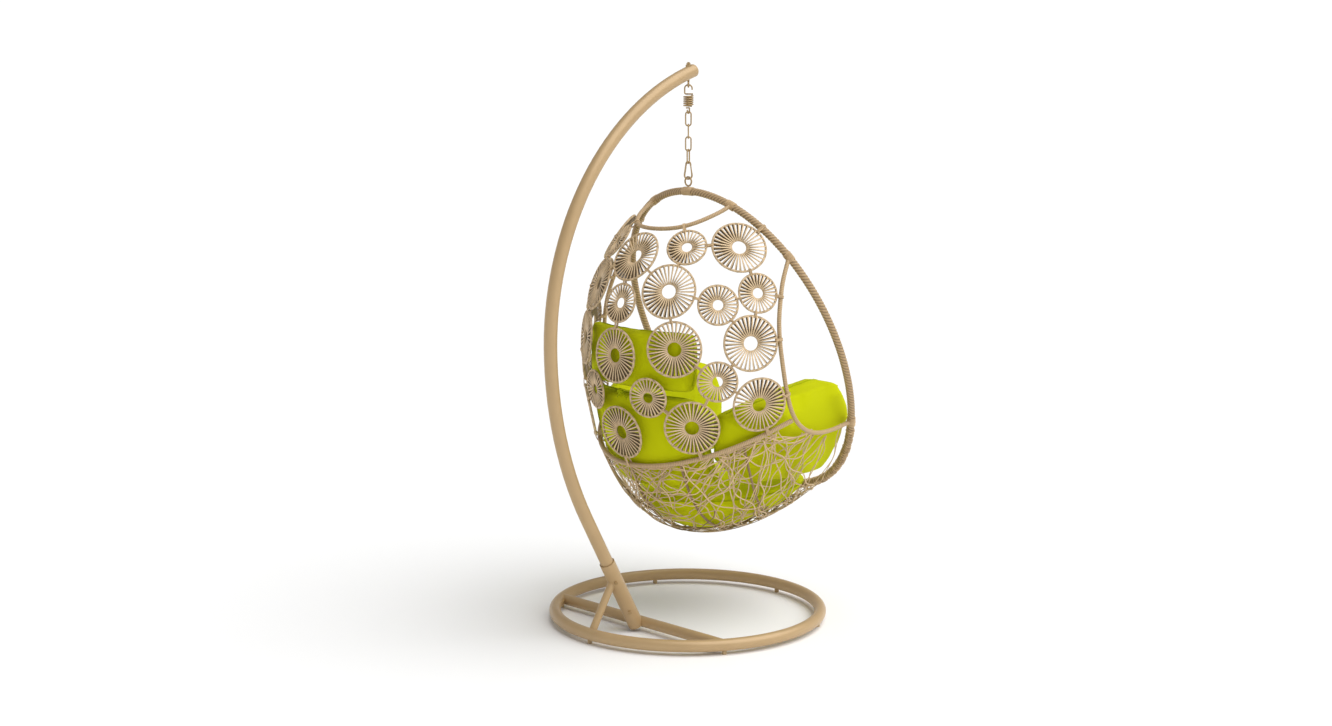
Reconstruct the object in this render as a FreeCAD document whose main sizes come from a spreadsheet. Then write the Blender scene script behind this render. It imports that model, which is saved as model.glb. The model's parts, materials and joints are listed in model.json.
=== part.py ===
"""Hanging egg chair: a wicker half-egg basket that hangs by a spring and chain from a C-shaped stand.

+X is the way the sitter faces, +Y is the sitter's left and +Z is up. The origin is on the floor, at the
centre of the base ring, straight under the hanging axis. Everything is in millimetres.
"""

import FreeCAD, Part
import math
import os
import re
import Sketcher
from FreeCAD import Placement, Rotation, Vector

doc = FreeCAD.newDocument("hanging_egg_chair")
sheet = doc.addObject("Spreadsheet::Sheet", "Dimensions")

DIMENSIONS = [
    ("ring_centre_radius", 480, "base ring, radius of the tube's centreline"),
    ("ring_tube_radius", 21, "base ring, outer radius of the tube"),
    ("ring_centre_height", 33, "base ring, height of the tube's centreline"),
    ("frame_wall", 1.8, "wall of the stand's tubes"),
    ("foot_radius", 8, "glide under the base ring"),
    ("foot_stem_radius", 5, "stem pushed into the ring"),
    ("foot_count", 6, "glides round the ring"),
    ("crossbar_offset", 240, "crossbar, distance behind the hanging axis"),
    ("crossbar_radius", 19, "crossbar, outer radius"),
    ("lean", 61, "slope of the socket and of the arm's straight foot, degrees"),
    ("socket_radius", 27.25, "socket, outer radius"),
    ("socket_bore_radius", 24.25, "socket, inner radius"),
    ("socket_length", 286, "socket, length along its axis"),
    ("socket_start", -12, "socket's lower end, from the height of the crossbar's centre"),
    ("bolt_low", 64, "lower cross bolt, from the socket's axis origin"),
    ("bolt_high", 200, "upper cross bolt, from the socket's axis origin"),
    ("bolt_turn", 36.6, "cross bolts, turn about the socket's axis, degrees"),
    ("bolt_radius", 4, "cross bolt shank"),
    ("bolt_hole_radius", 4.3, "clearance hole for the cross bolt"),
    ("brace_radius", 13.5, "brace, outer radius"),
    ("arm_radius", 22.75, "arm, outer radius"),
    ("arm_wall", 2, "arm, wall"),
    ("arm_reach", 649, "arm, greatest distance behind the hanging axis"),
    ("arm_reach_height", 1050, "height at which the arm stands upright"),
    ("arm_low_bend", 1250, "arm, radius of the lower bend"),
    ("arm_high_bend", 955, "arm, radius of the upper bend"),
    ("arm_over", 22, "arm, how far its end passes the hanging axis"),
    ("cap_length", 11, "domed cap on the arm's end"),
    ("eye_height", 1915.5, "eye bolt, centre of the eye"),
    ("eye_radius", 9, "eye bolt, radius of the eye's centreline"),
    ("eye_wire_radius", 3.5, "eye bolt, wire radius"),
    ("hanger_turn", -45, "turn of the hook and chain about the vertical, degrees"),
    ("slack", 0.8, "gap at the hook and eye, so that the chair can swing every way"),
    ("link_slack", 0.35, "gap at each chain contact"),
    ("ring_slack", 1.1, "gap at the carabiner and hanging ring, which cross at a slant"),
    ("spring_wire_radius", 2.6, "spring wire"),
    ("spring_coil_radius", 16, "spring, radius of the coil's centreline"),
    ("spring_top", 1876, "spring, height of the first turn"),
    ("spring_turns", 5, "spring, number of turns"),
    ("spring_pitch", 7.4, "spring, height of one turn"),
    ("upper_hook_radius", 13, "spring's upper hook"),
    ("lower_hook_radius", 9, "spring's lower hook"),
    ("lower_hook_height", 1823.5, "centre of the spring's lower hook"),
    ("lower_hook_turn", 65, "twist of the spring's lower hook, degrees"),
    ("link_wire_radius", 2.5, "chain link, wire"),
    ("link_bend_radius", 9.5, "chain link, radius of each end"),
    ("link_straight", 30, "chain link, straight length"),
    ("last_link_turn", 66, "twist of the lowest chain link, degrees"),
    ("clip_wire_radius", 3, "carabiner, wire"),
    ("clip_top_radius", 7.5, "carabiner, narrow end"),
    ("clip_bottom_radius", 13, "carabiner, wide end"),
    ("clip_length", 40, "carabiner, between the centres of its ends"),
    ("gate_radius", 2.3, "carabiner gate"),
    ("gate_pin_radius", 1.2, "carabiner gate pin"),
    ("gate_pin_bore", 1.27, "bore for the gate pin"),
    ("hoop_top_height", 1545, "height of the rim's top, under the ring"),
    ("basket_tilt", 25.6, "lean of the opening from the vertical, degrees"),
    ("basket_length", 1252, "length of the opening from top to bottom"),
    ("basket_half_width", 489, "half width of the opening"),
    ("basket_depth", 717.3, "depth scale of the shell"),
    ("core_radius", 9.3, "steel tube in the rim, outer radius"),
    ("core_wall", 1.6, "steel tube in the rim, wall"),
    ("wrap_bore_radius", 9.6, "rope wrap of the rim, inside"),
    ("wrap_radius", 13.5, "rope wrap of the rim, outside"),
    ("lug_ring_radius", 15.5, "hanging ring, radius of the centreline"),
    ("lug_wire_radius", 3, "hanging ring, wire"),
    ("side_bar_radius", 7.8, "wrapped side bars"),
    ("belt_radius", 8.5, "wrapped belt round the back"),
    ("top_bar_radius", 7.5, "wrapped bar behind the top"),
    ("rib_radius", 4.5, "ribs under the bowl"),
    ("weave_thickness", 6, "woven bowl"),
    ("big_disc_radius", 97, "large wicker disc"),
    ("small_disc_radius", 71, "small wicker disc"),
    ("big_disc_spokes", 34, "spokes of a large disc"),
    ("small_disc_spokes", 28, "spokes of a small disc"),
    ("disc_thickness", 7, "wicker disc"),
    ("disc_rim", 8, "width of a disc's outer ring"),
    ("disc_hole_share", 0.25, "a disc's hole, as a share of its radius"),
    ("disc_hub", 5, "width of a disc's inner ring"),
    ("spoke_width", 3.4, "width of a spoke"),
]


def fill_sheet():
    for row, (alias, value, note) in enumerate(DIMENSIONS, start=1):
        sheet.set(f"A{row}", note)
        sheet.set(f"B{row}", str(value))
        sheet.setAlias(f"B{row}", alias)
    doc.recompute()


fill_sheet()


def dim(alias):
    return float(sheet.get(alias))


def bind(obj, **sizes):
    """Ties properties of an object to the sheet; each size is an expression in the sheet's aliases."""
    for name, expression in sizes.items():
        words = re.split(r"(\w+)", expression)
        expression = "".join("Dimensions." + word if word in ALIASES else word for word in words)
        obj.setExpression(name, expression)
    return obj


ALIASES = {alias for alias, value, note in DIMENSIONS}
UP = Vector(0, 0, 1)


def placed(base, axis=UP):
    """A placement at a point, with the object's own Z turned to an axis."""
    return Placement(Vector(*base), Rotation(UP, Vector(*axis)))


def primitive(kind, name, place, **sizes):
    obj = bind(doc.addObject("Part::" + kind, name), **sizes)
    obj.Placement = place
    return obj


def cut(name, base, tool):
    obj = doc.addObject("Part::Cut", name)
    obj.Base = base
    obj.Tool = tool
    return obj


def fuse(name, parts):
    obj = doc.addObject("Part::MultiFuse", name)
    obj.Shapes = parts
    return obj


def group(name, parts):
    """Several separate solids under one name."""
    obj = doc.addObject("Part::Compound", name)
    obj.Links = parts
    return obj


def fixed_shape(name, shape, place=None):
    obj = doc.addObject("Part::Feature", name)
    obj.Shape = shape
    if place is not None:
        obj.Placement = place
    return obj


def bent_wire(points, closed=False, share=0.45):
    """Straight runs joined by tangent arcs, each as large as its two runs allow."""
    count = len(points)
    corners = range(count) if closed else range(1, count - 1)
    edges = []
    first = points[0]
    last = None if closed else first
    for index in corners:
        here = points[index]
        back = points[index - 1] - here
        ahead = points[(index + 1) % count] - here
        turn = math.pi - back.getAngle(ahead)
        reach = share * min(back.Length, ahead.Length)
        radius = reach / math.tan(turn / 2)
        start = here + back.normalize() * reach
        end = here + ahead.normalize() * reach
        inward = (back + ahead).normalize()
        middle = here + inward * (radius / math.cos(turn / 2) - radius)
        if last is None:
            first = start
        else:
            edges.append(Part.LineSegment(last, start).toShape())
        edges.append(Part.Arc(start, middle, end).toShape())
        last = end
    edges.append(Part.LineSegment(last, first if closed else points[-1]).toShape())
    return Part.Wire(edges)


def rod(name, wire, radius, place=None):
    """A round bar swept along a wire; radius is an expression in the sheet's aliases."""
    spine = fixed_shape(name + "_path", wire, place)
    edge = spine.Shape.OrderedEdges[0]
    start = edge.firstVertex(True).Point
    along = edge.tangentAt(edge.FirstParameter)
    if edge.Orientation == "Reversed":
        along = along.negative()
    section = primitive("Circle", name + "_section", placed(start, along), Radius=radius)
    sweep = doc.addObject("Part::Sweep", name)
    sweep.Sections = [section]
    sweep.Spine = (spine, [])
    sweep.Solid = True
    sweep.Frenet = False
    return sweep


# ---- the shell of the basket ---------------------------------------------------------------------
# The opening is an oval in a tilted plane. A point of the shell has an angle "along" from the rim's top (0)
# to its bottom (pi), and an angle "turn" from the middle of the back (0) to the rim at either side (a
# quarter turn).

TILT = math.radians(dim("basket_tilt"))
HOOP_TOP = Vector(0, 0, dim("hoop_top_height"))
DOWN_RIM = Vector(math.sin(TILT), 0, -math.cos(TILT))
TO_BACK = Vector(-math.cos(TILT), 0, -math.sin(TILT))
TO_LEFT = Vector(0, 1, 0)
WIDTH_TAPER = 10.6
DEPTH_TAPER = -120.9
DEPTH_SWELL = 65
QUARTER = math.pi / 2


def half_width(along):
    return math.sin(along) * (dim("basket_half_width") + WIDTH_TAPER * math.cos(along))


def depth(along):
    swell = DEPTH_TAPER * math.cos(along) + DEPTH_SWELL * math.cos(2 * along)
    return math.sin(along) * (dim("basket_depth") + swell)


def along_at(distance):
    """The angle "along" at a distance down the opening from the rim's top."""
    return math.acos(1 - 2 * distance / dim("basket_length"))


def shell_point(along, turn):
    down = dim("basket_length") * (1 - math.cos(along)) / 2
    side = half_width(along) * math.sin(turn)
    back = depth(along) * math.cos(turn)
    return HOOP_TOP + DOWN_RIM * down + TO_LEFT * side + TO_BACK * back


def shell_normal(along, turn):
    """Unit normal of the shell, away from the seat."""
    step = 0.002
    with_along = shell_point(along + step, turn) - shell_point(along - step, turn)
    with_turn = shell_point(along, turn + step) - shell_point(along, turn - step)
    return with_turn.cross(with_along).normalize()


def offset_point(along, turn, outward):
    return shell_point(along, turn) + shell_normal(along, turn) * outward


def shell_half_width_at(x, z):
    """Half the width of the shell where a level line along Y passes (x, z), or 0 outside it."""
    offset = Vector(x, 0, z) - HOOP_TOP
    down = offset.dot(DOWN_RIM)
    if not 0 < down < dim("basket_length"):
        return 0
    along = along_at(down)
    share = offset.dot(TO_BACK) / depth(along)
    return half_width(along) * math.sqrt(max(0, 1 - share * share))


def search(inside, low, high):
    """The place between low (outside the shell) and high (inside it) where the shell is."""
    for _ in range(40):
        middle = (low + high) / 2
        if inside(middle):
            high = middle
        else:
            low = middle
    return high


def shell_floor(x, y, high):
    """Height of the bowl under a point of height "high" that is inside the basket."""
    return search(lambda z: shell_half_width_at(x, z) > abs(y), 200, high)


def shell_back(y, z):
    """X of the back of the shell at a level."""
    inner = (dim("hoop_top_height") - z) * math.tan(TILT)
    return search(lambda x: shell_half_width_at(x, z) > abs(y), -500, inner)


def patch_solid(name, point, steps_u, steps_v):
    """A closed solid between two sheets: point(u, v, side), with u and v from 0 to 1 and side 0 or 1."""
    sheets = []
    for side in (0, 1):
        surface = Part.BSplineSurface()
        rows = []
        for i in range(steps_u + 1):
            rows.append([point(i / steps_u, j / steps_v, side) for j in range(steps_v + 1)])
        surface.interpolate(rows)
        sheets.append(surface)
    faces = [sheet_surface.toShape() for sheet_surface in sheets]
    near, far = sheets
    first_u, last_u, first_v, last_v = near.bounds()
    for value in (first_u, last_u):
        faces.append(Part.makeRuledSurface(near.uIso(value).toShape(), far.uIso(value).toShape()))
    for value in (first_v, last_v):
        faces.append(Part.makeRuledSurface(near.vIso(value).toShape(), far.vIso(value).toShape()))
    skin = Part.Shell(faces)
    skin.sewShape()
    solid = Part.Solid(skin)
    if solid.Volume < 0:
        solid.reverse()
    return fixed_shape(name, solid)


# ---- the stand -----------------------------------------------------------------------------------

LEAN = math.radians(dim("lean"))
POST_AXIS = Vector(-math.cos(LEAN), 0, math.sin(LEAN))
RING_HEIGHT = dim("ring_centre_height")


def arm_wire():
    """The arm's centreline: a straight foot, then two bends that curve the same way."""
    reach = dim("arm_reach")
    height = dim("arm_reach_height")
    low = dim("arm_low_bend")
    high = dim("arm_high_bend")
    low_centre = Vector(low - reach, 0, height)
    high_centre = Vector(high - reach, 0, height)
    sweep = math.pi / 2 - LEAN
    bend_start = low_centre + Vector(-math.cos(sweep), 0, -math.sin(sweep)) * low
    bend_middle = low_centre + Vector(-math.cos(sweep / 2), 0, -math.sin(sweep / 2)) * low
    upright = Vector(-reach, 0, height)
    over = math.acos((high_centre.x - dim("arm_over")) / high)
    top_middle = high_centre + Vector(-math.cos(over / 2), 0, math.sin(over / 2)) * high
    top_end = high_centre + Vector(-math.cos(over), 0, math.sin(over)) * high
    foot_length = (bend_start.z - RING_HEIGHT) / math.sin(LEAN) - 10
    foot = bend_start - POST_AXIS * foot_length
    straight = Part.LineSegment(foot, bend_start).toShape()
    lower = Part.Arc(bend_start, bend_middle, upright).toShape()
    upper = Part.Arc(upright, top_middle, top_end).toShape()
    axis_origin = bend_start - POST_AXIS * (foot_length + 10)
    end_direction = Vector(math.sin(over), 0, math.cos(over))
    return Part.Wire([straight, lower, upper]), axis_origin, top_end, end_direction


ARM_WIRE, POST_ORIGIN, ARM_END, ARM_END_DIRECTION = arm_wire()


def post_point(distance):
    return POST_ORIGIN + POST_AXIS * distance


def bolt_direction():
    """Cross bolts are square to the socket and turned about its axis from -Y."""
    turn = math.radians(dim("bolt_turn"))
    behind = Vector(-math.sin(LEAN), 0, -math.cos(LEAN))
    return Vector(0, -1, 0) * math.cos(turn) + behind * math.sin(turn)


BOLT_WAY = bolt_direction()


def bolt_holes(name):
    tools = []
    for distance, level in ((dim("bolt_low"), "low"), (dim("bolt_high"), "high")):
        place = placed(post_point(distance) - BOLT_WAY * 60, BOLT_WAY)
        tools.append(primitive("Cylinder", f"{name}_{level}", place, Radius="bolt_hole_radius"))
        tools[-1].Height = 120
    return group(name, tools)


def base_ring():
    centre = placed((0, 0, RING_HEIGHT))
    outer = primitive("Torus", "ring_outer", centre, Radius1="ring_centre_radius",
                      Radius2="ring_tube_radius")
    inner = primitive("Torus", "ring_inner", centre, Radius1="ring_centre_radius",
                      Radius2="ring_tube_radius - frame_wall")
    tube = cut("ring_tube", outer, inner)
    holes = []
    pads = []
    stems = []
    for index in range(int(dim("foot_count"))):
        turn = 2 * math.pi * index / dim("foot_count")
        spot = Vector(math.cos(turn), math.sin(turn), 0) * dim("ring_centre_radius")
        hole = primitive("Cylinder", f"foot_hole_{index}", placed(spot), Radius="foot_stem_radius + 0.1")
        hole.Height = 25
        holes.append(hole)
        pad = primitive("Cylinder", f"foot_pad_{index}", placed(spot), Radius="foot_radius")
        pad.Height = 13.5
        pads.append(cut(f"foot_seat_{index}", pad, outer))
        stem = primitive("Cylinder", f"foot_stem_{index}", placed(spot + UP * 8), Radius="foot_stem_radius")
        stem.Height = 11
        stems.append(stem)
    ring = cut("base_ring", tube, group("foot_holes", holes))
    feet = [fuse(f"foot_{index}", [pad, stem]) for index, (pad, stem) in enumerate(zip(pads, stems))]
    return outer, ring, group("foot_glides", feet)


def base_crossbar(ring_outer):
    half = math.sqrt(dim("ring_centre_radius") ** 2 - dim("crossbar_offset") ** 2)
    place = placed((-dim("crossbar_offset"), -half, RING_HEIGHT), (0, 1, 0))
    outer = primitive("Cylinder", "crossbar_outer", place, Radius="crossbar_radius")
    inner = primitive("Cylinder", "crossbar_bore", place, Radius="crossbar_radius - frame_wall")
    outer.Height = inner.Height = 2 * half
    return outer, cut("base_crossbar", cut("crossbar_tube", outer, inner), ring_outer)


def post_socket(crossbar_outer):
    place = placed(post_point(dim("socket_start")), POST_AXIS)
    outer = primitive("Cylinder", "socket_outer", place, Radius="socket_radius", Height="socket_length")
    inner = primitive("Cylinder", "socket_bore", place, Radius="socket_bore_radius", Height="socket_length")
    seated = cut("socket_seated", cut("socket_tube", outer, inner), crossbar_outer)
    return outer, cut("post_socket", seated, bolt_holes("socket_bolt_holes"))


def socket_brace(socket_outer, ring_outer):
    high = post_point(206)
    low = Vector(-dim("ring_centre_radius") + 8, 0, RING_HEIGHT)
    way = high - low
    place = placed(low, way)
    outer = primitive("Cylinder", "brace_outer", place, Radius="brace_radius")
    inner = primitive("Cylinder", "brace_bore", place, Radius="brace_radius - frame_wall")
    outer.Height = inner.Height = way.Length
    tube = cut("brace_tube", outer, inner)
    return cut("socket_brace", cut("brace_on_ring", tube, ring_outer), socket_outer)


def hanging_arm():
    outer = rod("arm_outer", ARM_WIRE, "arm_radius")
    inner = rod("arm_bore", ARM_WIRE, "arm_radius - arm_wall")
    hole = primitive("Cylinder", "eye_bolt_hole", placed((0, 0, 1900)), Radius=EYE_SHANK + " + 0.3")
    hole.Height = 120
    tools = group("arm_holes", [bolt_holes("arm_bolt_holes"), hole])
    return outer, cut("hanging_arm", cut("arm_tube", outer, inner), tools)


def arm_end_cap():
    """A plug in the tube with a domed head, turned about the arm's end."""
    place = placed(ARM_END, ARM_END_DIRECTION)
    head = primitive("Cylinder", "cap_head", place, Radius="arm_radius", Height="cap_length")
    dome = doc.addObject("Part::Fillet", "cap_dome")
    dome.Base = head
    doc.recompute()
    top_edge = 1 + max(range(len(head.Shape.Edges)), key=lambda i: edge_height(head.Shape.Edges[i], place))
    dome.Edges = [(top_edge, dim("cap_length") - 1, dim("cap_length") - 1)]
    plug_place = placed(ARM_END - ARM_END_DIRECTION * 10, ARM_END_DIRECTION)
    plug = primitive("Cylinder", "cap_plug", plug_place, Radius="arm_radius - arm_wall - 0.1")
    plug.Height = 10
    return fuse("arm_end_cap", [dome, plug])


def edge_height(edge, place):
    return place.inverse().multVec(edge.CenterOfMass).z


def socket_bolts():
    """Two cross bolts with button heads, and their nuts."""
    pieces = []
    for distance, level in ((dim("bolt_low"), "low"), (dim("bolt_high"), "high")):
        centre = post_point(distance)
        head_at = centre + BOLT_WAY * dim("socket_radius")
        nut_at = centre - BOLT_WAY * (dim("socket_radius") + 6.5)
        head = primitive("Cylinder", f"bolt_head_{level}", placed(head_at, BOLT_WAY),
                         Radius="bolt_radius * 1.7")
        head.Height = 4.5
        tail = centre - BOLT_WAY * (dim("socket_radius") + 9)
        shank = primitive("Cylinder", f"bolt_shank_{level}", placed(tail, BOLT_WAY), Radius="bolt_radius")
        shank.Height = 2 * dim("socket_radius") + 9
        pieces.append(fuse(f"bolt_{level}", [head, shank]))
        nut_place = placed(nut_at, BOLT_WAY)
        nut = primitive("Prism", f"nut_blank_{level}", nut_place, Circumradius="bolt_radius * 1.85")
        nut.Polygon = 6
        nut.Height = 6.5
        bore = primitive("Cylinder", f"nut_bore_{level}", nut_place, Radius="bolt_radius + 0.05")
        bore.Height = 6.5
        pieces.append(cut(f"nut_{level}", nut, bore))
    return group("socket_bolts", pieces)


EYE_SHANK = "4"
EYE_TOP = 1992


def eye_bolt():
    """A ring under the arm on a shank that passes through it, with a domed nut on top."""
    centre = Vector(0, 0, dim("eye_height"))
    eye = primitive("Torus", "bolt_eye", hanger_place(centre, (1, 0, 0)), Radius1="eye_radius",
                    Radius2="eye_wire_radius")
    foot = centre + UP * dim("eye_radius")
    shank = primitive("Cylinder", "eye_shank", placed(foot), Radius=EYE_SHANK)
    shank.Height = EYE_TOP - foot.z
    return fuse("eye_bolt", [eye, shank])


def eye_bolt_nut(arm_outer):
    """A washer and a domed nut that sit on the sloping top of the arm."""
    low = 1960
    washer = primitive("Cylinder", "eye_washer", placed((0, 0, low)), Radius="10")
    washer.Height = 22.5
    nut = primitive("Prism", "eye_nut_blank", placed((0, 0, low)))
    nut.Polygon = 6
    nut.Circumradius = 7.5
    nut.Height = 29
    bore = primitive("Cylinder", "eye_nut_bore", placed((0, 0, low)), Radius=EYE_SHANK + " + 0.05")
    bore.Height = 40
    seated = cut("eye_nut_seated", fuse("eye_nut_stack", [washer, nut]), arm_outer)
    return cut("eye_bolt_nut", seated, bore)


# ---- spring, chain and carabiner -----------------------------------------------------------------
# The hanger has its own directions: its X runs across the front of the hook and chain, its Y passes through
# them.


def hanger_turn(twist=0):
    return Rotation(UP, dim("hanger_turn") + twist)


def hanger_place(point, axis=UP, twist=0):
    """A point on the hanging axis, with the object's own Z turned to one of the hanger's directions."""
    return Placement(Vector(*point), hanger_turn(twist).multiply(Rotation(UP, Vector(*axis))))


def spring_parts():
    wire = dim("spring_wire_radius")
    hook_top = dim("eye_height") - dim("eye_radius") + dim("eye_wire_radius") + wire + dim("slack")
    hook_radius = dim("upper_hook_radius")
    hook_centre = Vector(0, 0, hook_top - hook_radius)
    upper = hook_wire(hook_radius, 200, hook_centre.z - dim("spring_top") - 2 * wire - 0.3)
    top_hook = rod("spring_hook_top", upper, "spring_wire_radius", Placement(hook_centre, hanger_turn()))
    coil = doc.addObject("Part::Helix", "coil_path")
    bind(coil, Pitch="spring_pitch", Radius="spring_coil_radius", Height="spring_pitch * spring_turns")
    coil_low = dim("spring_top") - dim("spring_pitch") * dim("spring_turns")
    coil.Placement = placed((0, 0, coil_low))
    doc.recompute()
    edge = coil.Shape.Edges[0]
    start_place = placed(edge.valueAt(edge.FirstParameter), edge.tangentAt(edge.FirstParameter))
    section = primitive("Circle", "coil_section", start_place, Radius="spring_wire_radius")
    spring = doc.addObject("Part::Sweep", "coil_spring")
    spring.Sections = [section]
    spring.Spine = (coil, [])
    spring.Solid = True
    spring.Frenet = True
    low_centre = Vector(0, 0, dim("lower_hook_height"))
    lower = hook_wire(dim("lower_hook_radius"), 200, coil_low - 2 * wire - 0.3 - low_centre.z)
    upside_down = Rotation(Vector(0, 1, 0), 180)
    flipped = Placement(low_centre, hanger_turn(dim("lower_hook_turn")).multiply(upside_down))
    low_hook = rod("spring_hook_bottom", lower, "spring_wire_radius", flipped)
    return top_hook, spring, low_hook


HOOK_CORNER = 0.4


def hook_wire(radius, opening_turn, drop):
    """An open hook in the XZ plane about its centre: a bar under it, a riser and a bow over the top."""
    corner_radius = radius * HOOK_CORNER
    bar_end = Vector(dim("spring_coil_radius"), 0, -drop)
    bar_start = Vector(corner_radius - radius, 0, -drop)
    side = Vector(-radius, 0, 0)
    elbow = Vector(-radius, 0, -drop + corner_radius)
    turn = math.radians(opening_turn)
    crown = Vector(-radius * math.cos(turn / 2), 0, radius * math.sin(turn / 2))
    tip = Vector(-radius * math.cos(turn), 0, radius * math.sin(turn))
    bar = Part.LineSegment(bar_end, bar_start).toShape()
    corner_rise = corner_radius * (1 - math.sqrt(0.5))
    corner_middle = Vector(-radius + corner_rise, 0, -drop + corner_rise)
    corner = Part.Arc(bar_start, corner_middle, elbow).toShape()
    edges = [bar, corner]
    if (side - elbow).Length > 0.01:
        edges.append(Part.LineSegment(elbow, side).toShape())
    edges.append(Part.Arc(side, crown, tip).toShape())
    return Part.Wire(edges)


def oval_wire(top_radius, bottom_radius, length):
    """A closed pear or stadium in the XZ plane, hung from the centre of its upper bow."""
    slope = math.asin((bottom_radius - top_radius) / length)
    across = math.cos(slope)
    rise = math.sin(slope)
    low = Vector(0, 0, -length)
    top_right = Vector(across, 0, rise) * top_radius
    top_left = Vector(-across, 0, rise) * top_radius
    low_right = low + Vector(across, 0, rise) * bottom_radius
    low_left = low + Vector(-across, 0, rise) * bottom_radius
    crown = Vector(0, 0, top_radius)
    keel = low - UP * bottom_radius
    return {
        "right": (low_right, top_right),
        "left": Part.LineSegment(low_left, top_left).toShape(),
        "top": (top_left, crown, top_right),
        "bottom": (low_right, keel, low_left),
    }


def chain_links():
    """Four links, each hung in the one above it and turned across it."""
    wire = dim("link_wire_radius")
    bend = dim("link_bend_radius")
    straight = dim("link_straight")
    pattern = oval_wire(bend, bend, straight)
    closed = Part.Wire([
        Part.LineSegment(*pattern["right"]).toShape(),
        Part.Arc(*reversed(pattern["top"])).toShape(),
        Part.LineSegment(pattern["left"].lastVertex().Point, pattern["left"].firstVertex().Point).toShape(),
        Part.Arc(*reversed(pattern["bottom"])).toShape(),
    ])
    hook_low = dim("lower_hook_height") - dim("lower_hook_radius")
    top = hook_low + dim("spring_wire_radius") + wire + dim("link_slack")
    links = []
    for index, twist in enumerate((0, 90, 0, dim("last_link_turn")), start=1):
        place = Placement(Vector(0, 0, top - bend), hanger_turn(twist))
        links.append(rod(f"chain_link_{index}", closed, "link_wire_radius", place))
        bottom = top - straight - 2 * bend
        top = bottom + 2 * wire + dim("link_slack")
    return links, bottom


def carabiner(link_bottom):
    """A pear-shaped snap hook: a bent wire body, a hinged gate on its right side and the gate's pin."""
    wire = dim("clip_wire_radius")
    bow = dim("clip_top_radius")
    wide = dim("clip_bottom_radius")
    top = link_bottom + dim("link_wire_radius") + wire + dim("link_slack")
    place = Placement(Vector(0, 0, top - bow), hanger_turn())
    pattern = oval_wire(bow, wide, dim("clip_length"))
    low, high = pattern["right"]
    way = high - low
    hinge = low + way * 0.2
    stub_end = low + way * 0.13
    nose = low + way * 0.8
    wire_path = Part.Wire([
        Part.LineSegment(stub_end, low).toShape(),
        Part.Arc(*pattern["bottom"]).toShape(),
        pattern["left"],
        Part.Arc(*pattern["top"]).toShape(),
        Part.LineSegment(high, nose).toShape(),
    ])
    frame = rod("clip_wire", wire_path, "clip_wire_radius", place)
    along = Rotation(UP, way)
    pieces = [frame]
    for side in (-1, 1):
        ear = doc.addObject("Part::Box", "clip_ear_" + ("front" if side < 0 else "back"))
        ear.Length = 5
        ear.Width = 1.2
        ear.Height = 9
        corner = Vector(-2.5, 2.6 if side > 0 else -3.8, -6.2)
        ear.Placement = place.multiply(Placement(hinge, along)).multiply(Placement(corner, Rotation()))
        pieces.append(ear)
    pin_tool_place = place.multiply(Placement(hinge + Vector(0, -5, 0), Rotation(UP, Vector(0, 1, 0))))
    drill = primitive("Cylinder", "clip_pin_hole", pin_tool_place, Radius="gate_pin_radius")
    drill.Height = 10
    body = cut("carabiner_body", fuse("clip_frame", pieces), drill)
    gate_length = (nose - hinge).Length - 0.5
    bar = primitive("Cylinder", "gate_bar", place.multiply(Placement(hinge, along)), Radius="gate_radius")
    bar.Height = gate_length
    heel = primitive("Sphere", "gate_heel", place.multiply(Placement(hinge, along)), Radius="gate_radius")
    bore = primitive("Cylinder", "gate_bore", pin_tool_place, Radius="gate_pin_bore")
    bore.Height = 10
    gate = cut("carabiner_gate", fuse("gate_solid", [bar, heel]), bore)
    pin_place = place.multiply(Placement(hinge + Vector(0, -3.8, 0), Rotation(UP, Vector(0, 1, 0))))
    pin = primitive("Cylinder", "gate_pin", pin_place, Radius="gate_pin_radius")
    pin.Height = 7.6
    low_inside = top - bow - dim("clip_length") - wide + wire
    hinge_at = [round(value, 2) for value in place.multVec(hinge)]
    print("gate hinge", hinge_at, "clip bottom", round(low_inside, 2))
    return [body, gate, pin], low_inside


# ---- the basket ----------------------------------------------------------------------------------


FOOT_SINK = 1.6


def hanging_ring(clip_inside):
    """A steel ring welded upright on the rim, with its foot inside the wrap."""
    top = clip_inside + dim("lug_wire_radius") + dim("ring_slack")
    centre = Vector(0, 0, top - dim("lug_ring_radius"))
    ring = primitive("Torus", "lug_ring", placed(centre, (1, 0, 0)), Radius1="lug_ring_radius",
                     Radius2="lug_wire_radius")
    foot_low = dim("hoop_top_height") + dim("core_radius") - FOOT_SINK
    foot = primitive("Cylinder", "lug_foot", placed((0, 0, foot_low)), Radius="lug_wire_radius")
    foot.Height = centre.z - dim("lug_ring_radius") - foot_low
    return fuse("hanging_ring", [ring, foot])


def rim():
    """The oval hoop round the opening: a steel core in a rope wrap."""
    runs = 36
    points = [shell_point(2 * math.pi * (index + 0.5) / runs, QUARTER) for index in range(runs)]
    wire = bent_wire(points, closed=True)
    core_bore = rod("core_bore", wire, "core_radius - core_wall")
    core = cut("rim_hoop", rod("core_outer", wire, "core_radius"), core_bore)
    outer = rod("wrap_outer", wire, "wrap_radius")
    inner = rod("wrap_bore", wire, "wrap_bore_radius")
    return core, cut("rim_wrap", outer, inner)


# Distance down the opening and angle round from the back, in degrees, for the points of a side bar.
SIDE_BAR = [(236, 90), (278, 81.5), (318, 77), (378, 72.2), (446, 69.3), (543, 67.2), (609, 66.4),
            (679, 66.2), (745, 67.5), (800, 70.4), (840, 74.5), (872, 80.5), (905, 90)]
BELT_DISTANCE = 722
BELT_END = 66


def side_bar(name, side):
    points = [shell_point(along_at(down), side * math.radians(turn)) for down, turn in SIDE_BAR]
    return rod(name, bent_wire(points), "side_bar_radius")


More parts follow.
